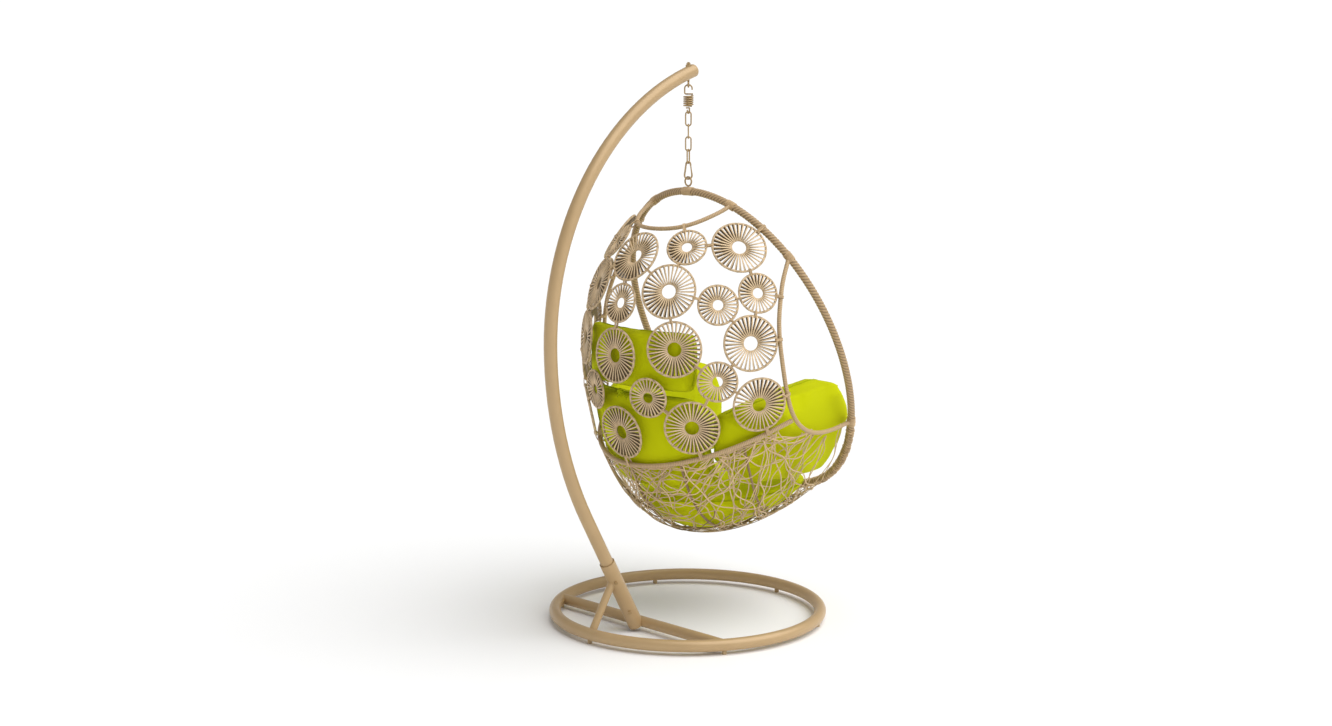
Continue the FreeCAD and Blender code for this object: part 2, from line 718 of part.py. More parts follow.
def belt_bar():
    runs = 12
    points = []
    for index in range(runs + 1):
        turn = math.radians(BELT_END) * (2 * index / runs - 1)
        lift = 6 * (1 - math.cos(turn))
        points.append(shell_point(along_at(BELT_DISTANCE + lift), turn))
    return rod("belt_bar", bent_wire(points), "belt_radius")


def top_bar():
    """A wrapped bar from side to side behind the rim's top: the upper edge of the wicker."""
    half = [(20, 190, 1503), (-10, 187, 1488), (-62, 172, 1466), (-115, 142, 1443), (-153, 97, 1428),
            (-172, 35, 1422)]
    left = [Vector(*point) for point in half]
    right = [Vector(x, -y, z) for x, y, z in reversed(half)]
    return rod("top_bar", bent_wire(left + right), "top_bar_radius")


RIB_TURNS = (-48, -24, 0, 24, 48)
RIB_INSET = 3
RIM_REACH = 170


def bowl_ribs():
    """Steel rods from the belt down to the foot of the rim, which carry the woven bowl."""
    ribs = []
    for turn in RIB_TURNS:
        start = along_at(BELT_DISTANCE)
        end = math.radians(RIM_REACH)
        runs = 6
        points = []
        for index in range(runs + 1):
            along = start + (end - start) * index / runs
            points.append(offset_point(along, math.radians(turn), -RIB_INSET))
        ribs.append(rod(f"rib_{len(ribs)}", bent_wire(points), "rib_radius"))
    return group("bowl_ribs", ribs)


def bowl_top(turn):
    """Distance down the opening of the bowl's upper edge: the belt, then the arm rests at the sides."""
    past = max(0, abs(turn) - BELT_END + 8)
    return BELT_DISTANCE + 178 * (past / 32) ** 1.3


def bowl_weave():
    reach = 86
    end = math.radians(177.5)

    def point(u, v, side):
        turn = reach * (2 * u - 1)
        start = along_at(bowl_top(turn))
        along = start + (end - start) * v
        outward = dim("weave_thickness") * (side - 0.5)
        return offset_point(along, math.radians(turn), outward)

    return patch_solid("bowl_weave", point, 44, 24)


# Name, distance down the opening, degrees round from the back, size. Names read from the top row down.
DISCS = [
    ("disc_top_centre", 84, 0, "big"),
    ("disc_top_inner", 84, 43, "small"),
    ("disc_top_outer", 138, 72, "big"),
    ("disc_upper_centre", 192, 0, "small"),
    ("disc_upper_inner", 175, 30.2, "big"),
    ("disc_upper_mid", 254, 51.8, "small"),
    ("disc_upper_outer", 274, 69, "small"),
    ("disc_middle_centre", 342, 0, "big"),
    ("disc_middle_inner", 339, 30.1, "big"),
    ("disc_middle_outer", 403, 59.1, "big"),
    ("disc_low_inner", 477, 16, "small"),
    ("disc_low_outer", 478, 44, "small"),
    ("disc_belt_centre", 600, 0, "big"),
    ("disc_belt_inner", 605, 31.5, "big"),
    ("disc_belt_outer", 609, 56.1, "big"),
]


CENTRE_POINT = 3


def disc_pattern(size):
    """A flat wicker wheel: an outer ring, an inner ring and spokes, made by repeating one slot."""
    body = doc.addObject("PartDesign::Body", f"{size}_disc_pattern")
    flat = [plane for plane in body.Origin.OriginFeatures if plane.Role == "XY_Plane"][0]
    outline = body.newObject("Sketcher::SketchObject", f"{size}_disc_outline")
    outline.AttachmentSupport = [(flat, "")]
    outline.MapMode = "FlatFace"
    for radius, rough in ((f"{size}_disc_radius", 50), (f"{size}_disc_radius * disc_hole_share", 20)):
        index = outline.addGeometry(Part.Circle(Vector(0, 0, 0), UP, rough), False)
        outline.addConstraint(Sketcher.Constraint("Coincident", index, CENTRE_POINT, -1, 1))
        constraint = outline.addConstraint(Sketcher.Constraint("Radius", index, rough))
        bind(outline, **{f"Constraints[{constraint}]": radius})
    pad = body.newObject("PartDesign::Pad", f"{size}_disc_pad")
    pad.Profile = outline
    bind(pad, Length="disc_thickness")
    pad.Midplane = True
    doc.recompute()
    slot = body.newObject("Sketcher::SketchObject", f"{size}_disc_slot")
    slot.AttachmentSupport = [(flat, "")]
    slot.MapMode = "FlatFace"
    slot_sketch(slot, size)
    pocket = body.newObject("PartDesign::Pocket", f"{size}_disc_pocket")
    pocket.Profile = slot
    pocket.Type = 1
    pocket.Midplane = True
    doc.recompute()
    pattern = body.newObject("PartDesign::PolarPattern", f"{size}_disc_spokes_pattern")
    pattern.Originals = [pocket]
    pattern.Axis = (outline, ["N_Axis"])
    pattern.Angle = 360
    bind(pattern, Occurrences=f"{size}_disc_spokes")
    body.Tip = pattern
    doc.recompute()
    return body


def slot_sketch(sketch, size):
    """The gap between two spokes: narrow at the hub, wide at the rim, even about the X axis."""
    inner = f"({size}_disc_radius * disc_hole_share + disc_hub)"
    outer = f"({size}_disc_radius - disc_rim)"
    half_step = f"tan(180deg / {size}_disc_spokes)"
    corners = [(30, -1), (80, -3), (80, 3), (30, 1)]
    lines = []
    for (x0, y0), (x1, y1) in zip(corners, corners[1:] + corners[:1]):
        lines.append(sketch.addGeometry(Part.LineSegment(Vector(x0, y0, 0), Vector(x1, y1, 0)), False))
    for this, following in zip(lines, lines[1:] + lines[:1]):
        sketch.addConstraint(Sketcher.Constraint("Coincident", this, 2, following, 1))
    places = [(lines[0], inner, -1, 30, -1), (lines[1], outer, -1, 80, -3),
              (lines[2], outer, 1, 80, 3), (lines[3], inner, 1, 30, 1)]
    for line, reach, side, x, y in places:
        level = f"{reach} * {half_step} - spoke_width / 2"
        if side < 0:
            level = f"-({level})"
        along = sketch.addConstraint(Sketcher.Constraint("DistanceX", -1, 1, line, 1, x))
        across = sketch.addConstraint(Sketcher.Constraint("DistanceY", -1, 1, line, 1, y))
        bind(sketch, **{f"Constraints[{along}]": reach, f"Constraints[{across}]": level})


def discs():
    """Each disc is flat and square to the shell; those beside the centre line come in mirrored pairs."""
    patterns = {size: disc_pattern(size).Shape for size in ("big", "small")}
    made = []
    for name, down, turn, size in DISCS:
        sides = ((1, "_left"), (-1, "_right")) if turn else ((1, ""),)
        for side, ending in sides:
            along = along_at(down)
            angle = side * math.radians(turn)
            place = placed(shell_point(along, angle), shell_normal(along, angle))
            made.append(fixed_shape(name + ending, patterns[size].copy(), place))
    return made


# ---- cushions ------------------------------------------------------------------------------------

CUSHION_GAP = 26


def back_cushion(name, low, high, half, thickness):
    """A tier of the back cushion, which follows the curve of the shell's back."""

    def point(u, v, side):
        y = half * (2 * u - 1)
        z = low + (high - low) * v
        crown = 1 - 0.35 * (2 * u - 1) ** 2 - 0.25 * (2 * v - 1) ** 2
        return Vector(shell_back(y, z) + CUSHION_GAP + side * thickness * crown, y, z)

    return patch_solid(name, point, 16, 8)


SEAT_TOP = 488
SEAT_CROWN = 26
SEAT_EDGE = 30
SEAT_MIDDLE = 130
SEAT_GAP = 17
BOLSTER_START = -150
BOLSTER_END = 430
BOLSTER_INNER = 252
BOLSTER_OUTER = 403
BOLSTER_GAP = 33
BOLSTER_LOW = 520
THIN_EDGE = 22


def seat_reach(turn):
    """How far the seat reaches from its middle before it meets the bowl or the plane of the rim."""

    def past(reach):
        x = SEAT_MIDDLE + reach * math.cos(turn)
        y = reach * math.sin(turn)
        behind_rim = (Vector(x, y, SEAT_TOP) - HOOP_TOP).dot(TO_BACK)
        floor = shell_floor(x, y, SEAT_TOP)
        return behind_rim < 2 * SEAT_GAP or floor + 2 * SEAT_GAP > SEAT_TOP - SEAT_EDGE

    return search(past, 100, 600)


def seat_cushion():
    """Fills the bowl: its underside follows the weave and its top is gently crowned."""

    def point(u, v, side):
        across = 2 * u - 1
        ahead = 2 * v - 1
        on_disc = Vector(ahead * math.sqrt(1 - across ** 2 / 2), across * math.sqrt(1 - ahead ** 2 / 2), 0)
        turn = math.atan2(on_disc.y, on_disc.x)
        spot = on_disc * seat_reach(turn)
        x = SEAT_MIDDLE + spot.x
        out = on_disc.Length ** 2
        if side == 0:
            floor = shell_floor(x, spot.y, SEAT_TOP) + SEAT_GAP * (1 + out)
            return Vector(x, spot.y, min(floor, SEAT_TOP - SEAT_EDGE))
        return Vector(x, spot.y, SEAT_TOP + SEAT_CROWN * (1 - out))

    return patch_solid("seat_cushion", point, 20, 20)


def side_cushion(name, side_sign):
    """A bolster along one side, between the sitter and the arm rest, with a rounded front end."""

    def point(u, v, side):
        rounded = 75 * max(0, (v - 0.6) / 0.4) ** 2
        x = BOLSTER_START + (BOLSTER_END - rounded - BOLSTER_START) * u
        top = 800 + 77 * u + 12 * math.sin(math.pi * u)
        inner = BOLSTER_INNER - 22 * u * u
        wide = inner + THIN_EDGE + BOLSTER_GAP
        low = max(BOLSTER_LOW, search(lambda z: shell_half_width_at(x, z) > wide, 400, top - 60))
        z = low + (top - low) * v
        outer = min(shell_half_width_at(x, z) - BOLSTER_GAP, BOLSTER_OUTER)
        bulge = 12 * u * u * math.sin(math.pi * v)
        y = inner - bulge if side == 0 else outer
        return Vector(x, side_sign * y, z)

    return patch_solid(name, point, 14, 10)


# ---- putting it together -------------------------------------------------------------------------


def build():
    ring_outer, ring, feet = base_ring()
    crossbar_outer, crossbar = base_crossbar(ring_outer)
    socket_outer, socket = post_socket(crossbar_outer)
    brace = socket_brace(socket_outer, ring_outer)
    arm_outer, arm = hanging_arm()
    stand = [ring, feet, crossbar, socket, brace, arm, arm_end_cap(), socket_bolts(), eye_bolt(),
             eye_bolt_nut(arm_outer)]
    links, link_bottom = chain_links()
    clip, clip_inside = carabiner(link_bottom)
    hanger = [*spring_parts(), *links, *clip]
    basket = [hanging_ring(clip_inside), *rim(), top_bar(), side_bar("side_bar_left", 1),
              side_bar("side_bar_right", -1), belt_bar(), bowl_ribs(), bowl_weave(), *discs()]
    cushions = [seat_cushion(), back_cushion("back_cushion_lower", 518, 866, 245, 135),
                back_cushion("back_cushion_upper", 872, 1090, 245, 115),
                side_cushion("side_cushion_left", 1), side_cushion("side_cushion_right", -1)]
    return stand + hanger + basket + cushions


def check_document():
    for obj in doc.Objects:
        if "Invalid" in obj.State or "Error" in obj.State:
            raise RuntimeError(f"{obj.Name} did not compute: {obj.State}")


def write_parts(nodes):
    os.makedirs("parts", exist_ok=True)
    for node in nodes:
        shape = node.Shape
        if shape.isNull() or not shape.isValid() or not shape.Solids:
            raise RuntimeError(f"{node.Name} is not a valid solid")
        node.Label = node.Name
        shape.exportStep(os.path.join("parts", node.Label + ".step"))
        print(f"{node.Label}: {len(shape.Solids)} solid, {shape.Volume / 1000:.1f} cm3")


NODES = build()
doc.recompute()
check_document()
write_parts(NODES)
print(len(NODES), "nodes")
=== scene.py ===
# %% [markdown]
# # A hanging egg chair
# A half-egg basket of wicker discs hangs by a spring, a short chain and a carabiner from a curved arm on
# a ring base. The CAD model gives every place and size. This file gives it its looks: rope, wicker, woven
# strands, powder-coated tube and stuffed lime cushions. Distances are in metres.

# %% Load the frame
import json
import math
import random

import bmesh
import bpy
import numpy
from mathutils import Matrix, Vector
from mathutils.bvhtree import BVHTree
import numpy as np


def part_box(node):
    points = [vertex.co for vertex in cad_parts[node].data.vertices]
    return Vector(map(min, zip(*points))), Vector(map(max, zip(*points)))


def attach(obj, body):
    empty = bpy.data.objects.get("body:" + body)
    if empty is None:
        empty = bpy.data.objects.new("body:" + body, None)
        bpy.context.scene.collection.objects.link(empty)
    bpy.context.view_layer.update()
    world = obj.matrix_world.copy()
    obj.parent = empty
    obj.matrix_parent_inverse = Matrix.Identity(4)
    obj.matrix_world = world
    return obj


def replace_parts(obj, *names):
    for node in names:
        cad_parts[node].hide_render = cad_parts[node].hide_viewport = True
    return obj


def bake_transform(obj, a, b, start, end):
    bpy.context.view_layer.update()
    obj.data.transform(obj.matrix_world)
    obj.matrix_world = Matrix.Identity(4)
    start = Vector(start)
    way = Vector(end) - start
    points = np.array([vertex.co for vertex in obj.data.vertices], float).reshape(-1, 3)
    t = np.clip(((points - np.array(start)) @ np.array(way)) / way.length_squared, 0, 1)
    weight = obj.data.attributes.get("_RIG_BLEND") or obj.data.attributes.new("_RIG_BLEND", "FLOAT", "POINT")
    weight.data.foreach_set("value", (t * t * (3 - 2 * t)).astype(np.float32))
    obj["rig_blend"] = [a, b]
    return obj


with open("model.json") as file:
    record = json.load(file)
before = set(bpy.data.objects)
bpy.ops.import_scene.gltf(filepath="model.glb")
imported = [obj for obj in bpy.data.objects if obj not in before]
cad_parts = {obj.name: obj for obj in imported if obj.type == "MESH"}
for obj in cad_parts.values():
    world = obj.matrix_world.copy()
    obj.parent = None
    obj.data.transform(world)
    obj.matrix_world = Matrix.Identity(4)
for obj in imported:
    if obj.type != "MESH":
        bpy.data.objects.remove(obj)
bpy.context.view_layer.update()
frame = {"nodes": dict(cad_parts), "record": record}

# %% [markdown]
# ## The camera
# The chair is seen from behind and to one side, a little above its middle. A camera is placed by its spot
# and by the way that it looks; `to_track_quat` turns that direction into a rotation and keeps it level.

# %% Camera
CAMERA_SPOT = Vector((-4.9919, -4.9682, 2.0116))
CAMERA_LOOK = Vector((0.6928, 0.7050, -0.1516))
camera_data = bpy.data.cameras.new("garden_view")
camera_data.lens = 54.05
camera_data.sensor_width = 36
camera = bpy.data.objects.new("garden_view", camera_data)
camera.location = CAMERA_SPOT
camera.rotation_mode = "QUATERNION"
camera.rotation_quaternion = CAMERA_LOOK.to_track_quat("-Z", "Y")
bpy.context.scene.collection.objects.link(camera)
bpy.context.scene.camera = camera
print("camera looks from", [round(value, 2) for value in CAMERA_SPOT])

# %% [markdown]
# ## Floor and light
# The studio is a pale floor under a sky that is white at the horizon and dimmer overhead. The dimmer sky
# leaves room for one broad soft lamp, high on the chair's right side, so that round tubes get a light and
# a dark side while the floor stays near white. The plain "Standard" view keeps the lime of the cushions as
# strong as it is.

# %% Floor
floor_mesh = bmesh.new()
bmesh.ops.create_grid(floor_mesh, x_segments=2, y_segments=2, size=60)
floor_data = bpy.data.meshes.new("studio_floor")
floor_mesh.to_mesh(floor_data)
floor_mesh.free()
floor = bpy.data.objects.new("studio_floor", floor_data)
bpy.context.scene.collection.objects.link(floor)
floor_paint = bpy.data.materials.new("white_floor")
floor_paint.use_nodes = True
floor_shader = floor_paint.node_tree.nodes["Principled BSDF"]
floor_shader.inputs["Base Color"].default_value = (0.96, 0.96, 0.96, 1)
floor_shader.inputs["Roughness"].default_value = 0.9
floor_shader.inputs["Specular IOR Level"].default_value = 0.1
floor_data.materials.append(floor_paint)
print("floor laid")

# %% Sky and lamp
SKY_OVERHEAD = 0.30
sky = bpy.data.worlds.new("studio_sky")
sky.use_nodes = True
sky_tree = sky.node_tree
sky_place = sky_tree.nodes.new("ShaderNodeTexCoord")
sky_height = sky_tree.nodes.new("ShaderNodeSeparateXYZ")
sky_fade = sky_tree.nodes.new("ShaderNodeMapRange")
sky_fade.inputs["From Min"].default_value = 0.04
sky_fade.inputs["From Max"].default_value = 0.25
sky_fade.inputs["To Min"].default_value = 1.05
sky_fade.inputs["To Max"].default_value = SKY_OVERHEAD
sky_tree.links.new(sky_place.outputs["Generated"], sky_height.inputs["Vector"])
sky_tree.links.new(sky_height.outputs["Z"], sky_fade.inputs["Value"])
sky_tree.links.new(sky_fade.outputs["Result"], sky_tree.nodes["Background"].inputs["Strength"])
sky_tree.nodes["Background"].inputs["Color"].default_value = (1, 1, 1, 1)
bpy.context.scene.world = sky
bpy.context.scene.view_settings.view_transform = "Standard"

lamp_data = bpy.data.lights.new("broad_lamp", "SUN")
lamp_data.energy = 2.9
lamp_data.angle = math.radians(75)
broad_lamp = bpy.data.objects.new("broad_lamp", lamp_data)
broad_lamp.rotation_mode = "QUATERNION"
broad_lamp.rotation_quaternion = Vector((-0.35, 0.75, -1.35)).to_track_quat("-Z", "Y")
bpy.context.scene.collection.objects.link(broad_lamp)
print("sky fades to", SKY_OVERHEAD, "and the lamp is", lamp_data.energy)

# %% [markdown]
# ## Finishes
# Every finish is a set of nodes. The helpers below keep the node code short: `finish` starts a material
# and sets the values that are the same all over, and `blend_colours` mixes two colours by a noise or an
# attribute, because no painted, woven or sewn surface has one flat colour.


# %% Helpers for finishes
def finish(name, roughness, **fixed):
    """A material with its fixed values on the shader's own sockets."""
    material = bpy.data.materials.new(name)
    material.use_nodes = True
    shader = material.node_tree.nodes["Principled BSDF"]
    shader.inputs["Roughness"].default_value = roughness
    for socket, value in fixed.items():
        shader.inputs[socket.replace("_", " ")].default_value = value
    return material, material.node_tree, shader


def add_node(tree, kind, **values):
    node = tree.nodes.new(kind)
    for key, value in values.items():
        if key in node.inputs:
            node.inputs[key].default_value = value
        else:
            setattr(node, key, value)
    return node


def object_noise(tree, scale, detail=3.0, stretch=(1, 1, 1)):
    """A noise that is fixed to the piece."""
    place = add_node(tree, "ShaderNodeTexCoord")
    mapping = add_node(tree, "ShaderNodeMapping")
    mapping.inputs["Scale"].default_value = stretch
    noise = add_node(tree, "ShaderNodeTexNoise", Scale=scale, Detail=detail)
    tree.links.new(place.outputs["Object"], mapping.inputs["Vector"])
    tree.links.new(mapping.outputs["Vector"], noise.inputs["Vector"])
    return noise.outputs["Fac"]


def blend_colours(tree, share, dark, light):
    mix = add_node(tree, "ShaderNodeMix", data_type="RGBA")
    colour_share = [socket for socket in mix.inputs if socket.name == "Factor"][0]
    tree.links.new(share, colour_share)
    sockets = [socket for socket in mix.inputs if socket.name in ("A", "B") and socket.type == "RGBA"]
    sockets[0].default_value = (*dark, 1)
    sockets[1].default_value = (*light, 1)
    return [socket for socket in mix.outputs if socket.type == "RGBA"][0]


def add_bump(tree, shader, height, depth, strength=1.0):
    bump = add_node(tree, "ShaderNodeBump", Distance=depth, Strength=strength)
    tree.links.new(height, bump.inputs["Height"])
    tree.links.new(bump.outputs["Normal"], shader.inputs["Normal"])


print("helpers for finishes ready")

# %% [markdown]
# ## Powder coat and plated hardware
# The stand is steel tube with a sand-coloured powder coat. Powder melts into a fine orange peel, so the
# bump is a small dense noise, and the gloss changes a little over the surface. The hook, chain and
# carabiner have the same colour over a brighter metal.


# %% Powder coat and hardware
def powder_coat(name, dark, light, roughness, metallic):
    material, tree, shader = finish(name, roughness, Metallic=metallic, Coat_Weight=0.12, Coat_Roughness=0.25)
    tint = blend_colours(tree, object_noise(tree, 9, 4), dark, light)
    tree.links.new(tint, shader.inputs["Base Color"])
    gloss = add_node(tree, "ShaderNodeMapRange")
    gloss.inputs["To Min"].default_value = roughness - 0.05
    gloss.inputs["To Max"].default_value = roughness + 0.08
    tree.links.new(object_noise(tree, 60, 2), gloss.inputs["Value"])
    tree.links.new(gloss.outputs["Result"], shader.inputs["Roughness"])
    add_bump(tree, shader, object_noise(tree, 700, 2), 0.00012, 0.6)
    return material


FRAME_PAINT = powder_coat("sand_powder_coat", (0.45, 0.305, 0.150), (0.53, 0.365, 0.187), 0.40, 0.15)
HARDWARE = powder_coat("plated_hardware", (0.36, 0.245, 0.115), (0.46, 0.315, 0.155), 0.32, 0.55)
CAP_PLASTIC = powder_coat("moulded_cap", (0.45, 0.305, 0.150), (0.52, 0.355, 0.18), 0.5, 0.0)
FOOT_PLASTIC = powder_coat("moulded_glide", (0.42, 0.30, 0.16), (0.50, 0.36, 0.19), 0.55, 0.0)
# painted shade: the core steel ribs get a dark brown that darkens their own colour into the shade they lie in
# behind the woven strands
CORE_STEEL_SHADED = powder_coat("core_steel_with_painted_shade", (0.22, 0.14, 0.062), (0.31, 0.205, 0.10), 0.5, 0.1)
print("powder coats:", FRAME_PAINT.name, HARDWARE.name)

# %% [markdown]
# ## Wicker and rope
# Plastic wicker is a flat strand with fine lines along it. Each wound piece carries three facts from its
# own modelling: a UV map (distance along, share round), a `crown` value that is 0 in a groove and 1 on
# top of a strand, and a `tone` that differs from strand to strand. The finish reads them, so that the
# grooves get a painted shade colour, strands differ and the grain follows each strand. On the discs the
# tone also paints the shade of the back and middle strands.


# %% Wicker finish
def wicker(name, groove, dark, light, grain=1.0, roughness=0.5):
    material, tree, shader = finish(name, roughness, Specular_IOR_Level=0.35)
    tone = add_node(tree, "ShaderNodeAttribute", attribute_name="tone")
    crown = add_node(tree, "ShaderNodeAttribute", attribute_name="crown")
    strand = blend_colours(tree, tone.outputs["Fac"], dark, light)
    place = add_node(tree, "ShaderNodeTexCoord")
    mapping = add_node(tree, "ShaderNodeMapping")
    mapping.inputs["Scale"].default_value = (60, 26, 1)
    fibres = add_node(tree, "ShaderNodeTexNoise", Scale=1.0, Detail=3.0)
    tree.links.new(place.outputs["UV"], mapping.inputs["Vector"])
    tree.links.new(mapping.outputs["Vector"], fibres.inputs["Vector"])
    streaks = add_node(tree, "ShaderNodeMapRange")
    streaks.inputs["To Min"].default_value = 1 - 0.28 * grain
    streaks.inputs["To Max"].default_value = 1 + 0.22 * grain
    tree.links.new(fibres.outputs["Fac"], streaks.inputs["Value"])
    scaled = add_node(tree, "ShaderNodeVectorMath", operation="SCALE")
    tree.links.new(strand, scaled.inputs["Vector"])
    tree.links.new(streaks.outputs["Result"], scaled.inputs["Scale"])
    # painted shade: the first colour is a dark brown that the crown value lays into each groove between wound
    # strands
    mix = add_node(tree, "ShaderNodeMix", data_type="RGBA")
    colours = [socket for socket in mix.inputs if socket.type == "RGBA"]
    colours[0].default_value = (*groove, 1)
    tree.links.new(scaled.outputs["Vector"], colours[1])
    tree.links.new(crown.outputs["Fac"], mix.inputs["Factor"])
    mixed = [socket for socket in mix.outputs if socket.type == "RGBA"][0]
    tree.links.new(mixed, shader.inputs["Base Color"])
    add_bump(tree, shader, fibres.outputs["Fac"], 0.0003, 0.7)
    return material


# the first colour given to each finish below is the painted shade of its grooves; the disc finish's
# near-black dark end is the painted shade of its back and middle strands
TAN_DARK = (0.30, 0.190, 0.088)
GROOVE_SHADE_BROWN = (0.13, 0.075, 0.032)
ROPE = wicker("rope_wrap", GROOVE_SHADE_BROWN, TAN_DARK, (0.76, 0.545, 0.31), 1.0)
BAR_WICKER = wicker("bar_wrap", (0.17, 0.105, 0.05), (0.46, 0.31, 0.16), (0.66, 0.475, 0.27), 0.8)
DISC_WICKER = wicker("disc_strands", (0.08, 0.045, 0.02), (0.06, 0.034, 0.014), (0.80, 0.595, 0.36), 0.7)
STRAND_WICKER = wicker("bowl_strands", GROOVE_SHADE_BROWN, (0.15, 0.09, 0.036), (0.78, 0.57, 0.33), 0.9)
print("wicker finishes:", ROPE.name, BAR_WICKER.name, DISC_WICKER.name, STRAND_WICKER.name)

# %% [markdown]
# ## Outdoor fabric
# The cushions are in a matt woven lime cloth. Two crossed waves make a plain weave of about a millimetre
# and a half, which gives the bump; a broad noise shifts the colour a little, as dyed cloth does, and some
# sheen softens the edges.


# %% Fabric finish
def lime_cloth(name, dark, light):
    material, tree, shader = finish(name, 0.9, Sheen_Weight=0.02, Sheen_Roughness=0.5,
                                    Specular_IOR_Level=0.06)
    tint = blend_colours(tree, object_noise(tree, 5, 4), dark, light)
    tree.links.new(tint, shader.inputs["Base Color"])
    place = add_node(tree, "ShaderNodeTexCoord")
    threads = []
    for direction in ("X", "Z"):
        wave = add_node(tree, "ShaderNodeTexWave", Scale=210.0)
        wave.bands_direction = direction
        tree.links.new(place.outputs["Object"], wave.inputs["Vector"])
        threads.append(wave.outputs["Fac"])
    crossed = add_node(tree, "ShaderNodeMath", operation="ADD")
    tree.links.new(threads[0], crossed.inputs[0])
    tree.links.new(threads[1], crossed.inputs[1])
    slub = add_node(tree, "ShaderNodeMath", operation="MULTIPLY_ADD")
    tree.links.new(object_noise(tree, 45, 4), slub.inputs[0])
    slub.inputs[1].default_value = 2.0
    tree.links.new(crossed.outputs[0], slub.inputs[2])
    add_bump(tree, shader, slub.outputs[0], 0.0006, 0.5)
    return material


LIME_CLOTH = lime_cloth("lime_outdoor_cloth", (0.54, 0.58, 0.002), (0.64, 0.68, 0.004))
# the piping and the knot get a darker lime than the cloth, so every seam shows as a darker line
LIME_PIPING = lime_cloth("lime_piping", (0.36, 0.42, 0.001), (0.44, 0.50, 0.002))
print("fabric:", LIME_CLOTH.name, LIME_PIPING.name)

# %% [markdown]
# ## The CAD pieces that stay
# Plain metal tube, links and bolts are already the right shape, so they keep their CAD mesh and only get
# a finish, picked by the material slot that the part's record gives each of them. Pieces that will be
# replaced get one too, which does no harm.

# %% Finish the CAD pieces
SLOT_FINISH = {
    "frame_paint": FRAME_PAINT, "hardware": HARDWARE, "dark_plastic": FOOT_PLASTIC,
    "cap_plastic": CAP_PLASTIC, "core_steel": CORE_STEEL_SHADED, "rope_wrap": ROPE,
    "disc_wicker": DISC_WICKER, "wicker": BAR_WICKER, "cushion_fabric": LIME_CLOTH,
}
for subpart in frame["record"]["subparts"]:
    node = frame["nodes"][subpart["node"]]
    node.data.materials.clear()
    node.data.materials.append(SLOT_FINISH[subpart["material_slot"]])

# %% [markdown]
# ## Tubes that follow a line
# Rope, bars, strands, ties and the spring are all long round things that follow a line. A curve object
# with a bevel could draw them, but a grid that is rolled round the line also lets the surface rise and
# sink as wound strands do, and gives a UV map that runs along it. `roll` does that: it takes a flat grid
# from bmesh, bends it round the path, sews its seam and closes its ends.


# %% Helpers for lines
def smooth_line(points, rounds=3, closed=False):
    """Cuts the corners of a rough line again and again until it is smooth."""
    for _ in range(rounds):
        pairs = list(zip(points, points[1:] + points[:1])) if closed else list(zip(points, points[1:]))
        cut = []
        for here, ahead in pairs:
            cut += [here.lerp(ahead, 0.25), here.lerp(ahead, 0.75)]
        points = cut if closed else [points[0]] + cut[1:-1] + [points[-1]]
    return points


def running_length(points, closed=False):
    ends = points + points[:1] if closed else points
    lengths = [0.0]
    for here, ahead in zip(ends, ends[1:]):
        lengths.append(lengths[-1] + (ahead - here).length)
    return lengths


def even_line(points, step, closed=False):
    """The same line with points a step apart."""
    ends = points + points[:1] if closed else points
    lengths = running_length(points, closed)
    count = max(2, round(lengths[-1] / step))
    even = []
    index = 0
    for number in range(count if closed else count + 1):
        target = lengths[-1] * number / count
        while index < len(lengths) - 2 and lengths[index + 1] < target:
            index += 1
        share = (target - lengths[index]) / max(lengths[index + 1] - lengths[index], 1e-9)
        even.append(ends[index].lerp(ends[index + 1], min(1, share)))
    return even


def square_directions(points, closed, faces=None):
    """Two directions square to the line at each point; faces are normals that a flat strand lies on."""
    count = len(points)
    directions = []
    side = None
    for index in range(count):
        back = points[index - 1] if closed or index else points[0]
        ahead = points[(index + 1) % count] if closed or index < count - 1 else points[-1]
        along = (ahead - back).normalized()
        if faces is not None:
            side = faces[index].cross(along).normalized()
        else:
            side = along.orthogonal() if side is None else side
            side = (side - along * side.dot(along)).normalized()
        directions.append((side, along.cross(side)))
    return directions


print("helpers for lines ready")


# %% The rolled grid
def new_work():
    """An empty mesh that can hold a UV map, a crown and a tone."""
    work = bmesh.new()
    work.loops.layers.uv.new("UVMap")
    work.verts.layers.float.new("crown")
    work.verts.layers.float.new("tone")
    return work


def roll(work, points, radius, sides, closed=False, flat=1.0, winding=None, relief=0.0, tone=0.6, faces=None):
    """A tube along a line.

    winding(run, angle) is 0 in a groove and 1 on a crown; flat is the thickness over the width.
    """
    uv = work.loops.layers.uv["UVMap"]
    crown_layer = work.verts.layers.float["crown"]
    tone_layer = work.verts.layers.float["tone"]
    columns = len(points) if closed else len(points) - 1
    sheet = bmesh.ops.create_grid(work, x_segments=columns, y_segments=sides, size=0.5)["verts"]
    directions = square_directions(points, closed, faces)
    runs = running_length(points, closed)
    spots = {vert: (round((vert.co.x + 0.5) * columns), (vert.co.y + 0.5) * 2 * math.pi) for vert in sheet}
    for face in {face for vert in sheet for face in vert.link_faces}:
        for loop in face.loops:
            column, angle = spots[loop.vert]
            loop[uv].uv = (runs[column], angle / (2 * math.pi))
    for vert, (column, angle) in spots.items():
        side, up = directions[column % len(points)]
        crown = winding(runs[column], angle) if winding else 1.0
        reach = radius - relief * (1 - crown)
        outward = side * math.cos(angle) + up * math.sin(angle) * flat
        vert.co = points[column % len(points)] + outward * reach
        vert[crown_layer] = crown
        vert[tone_layer] = tone
    bmesh.ops.remove_doubles(work, verts=sheet, dist=1e-6)
    return work


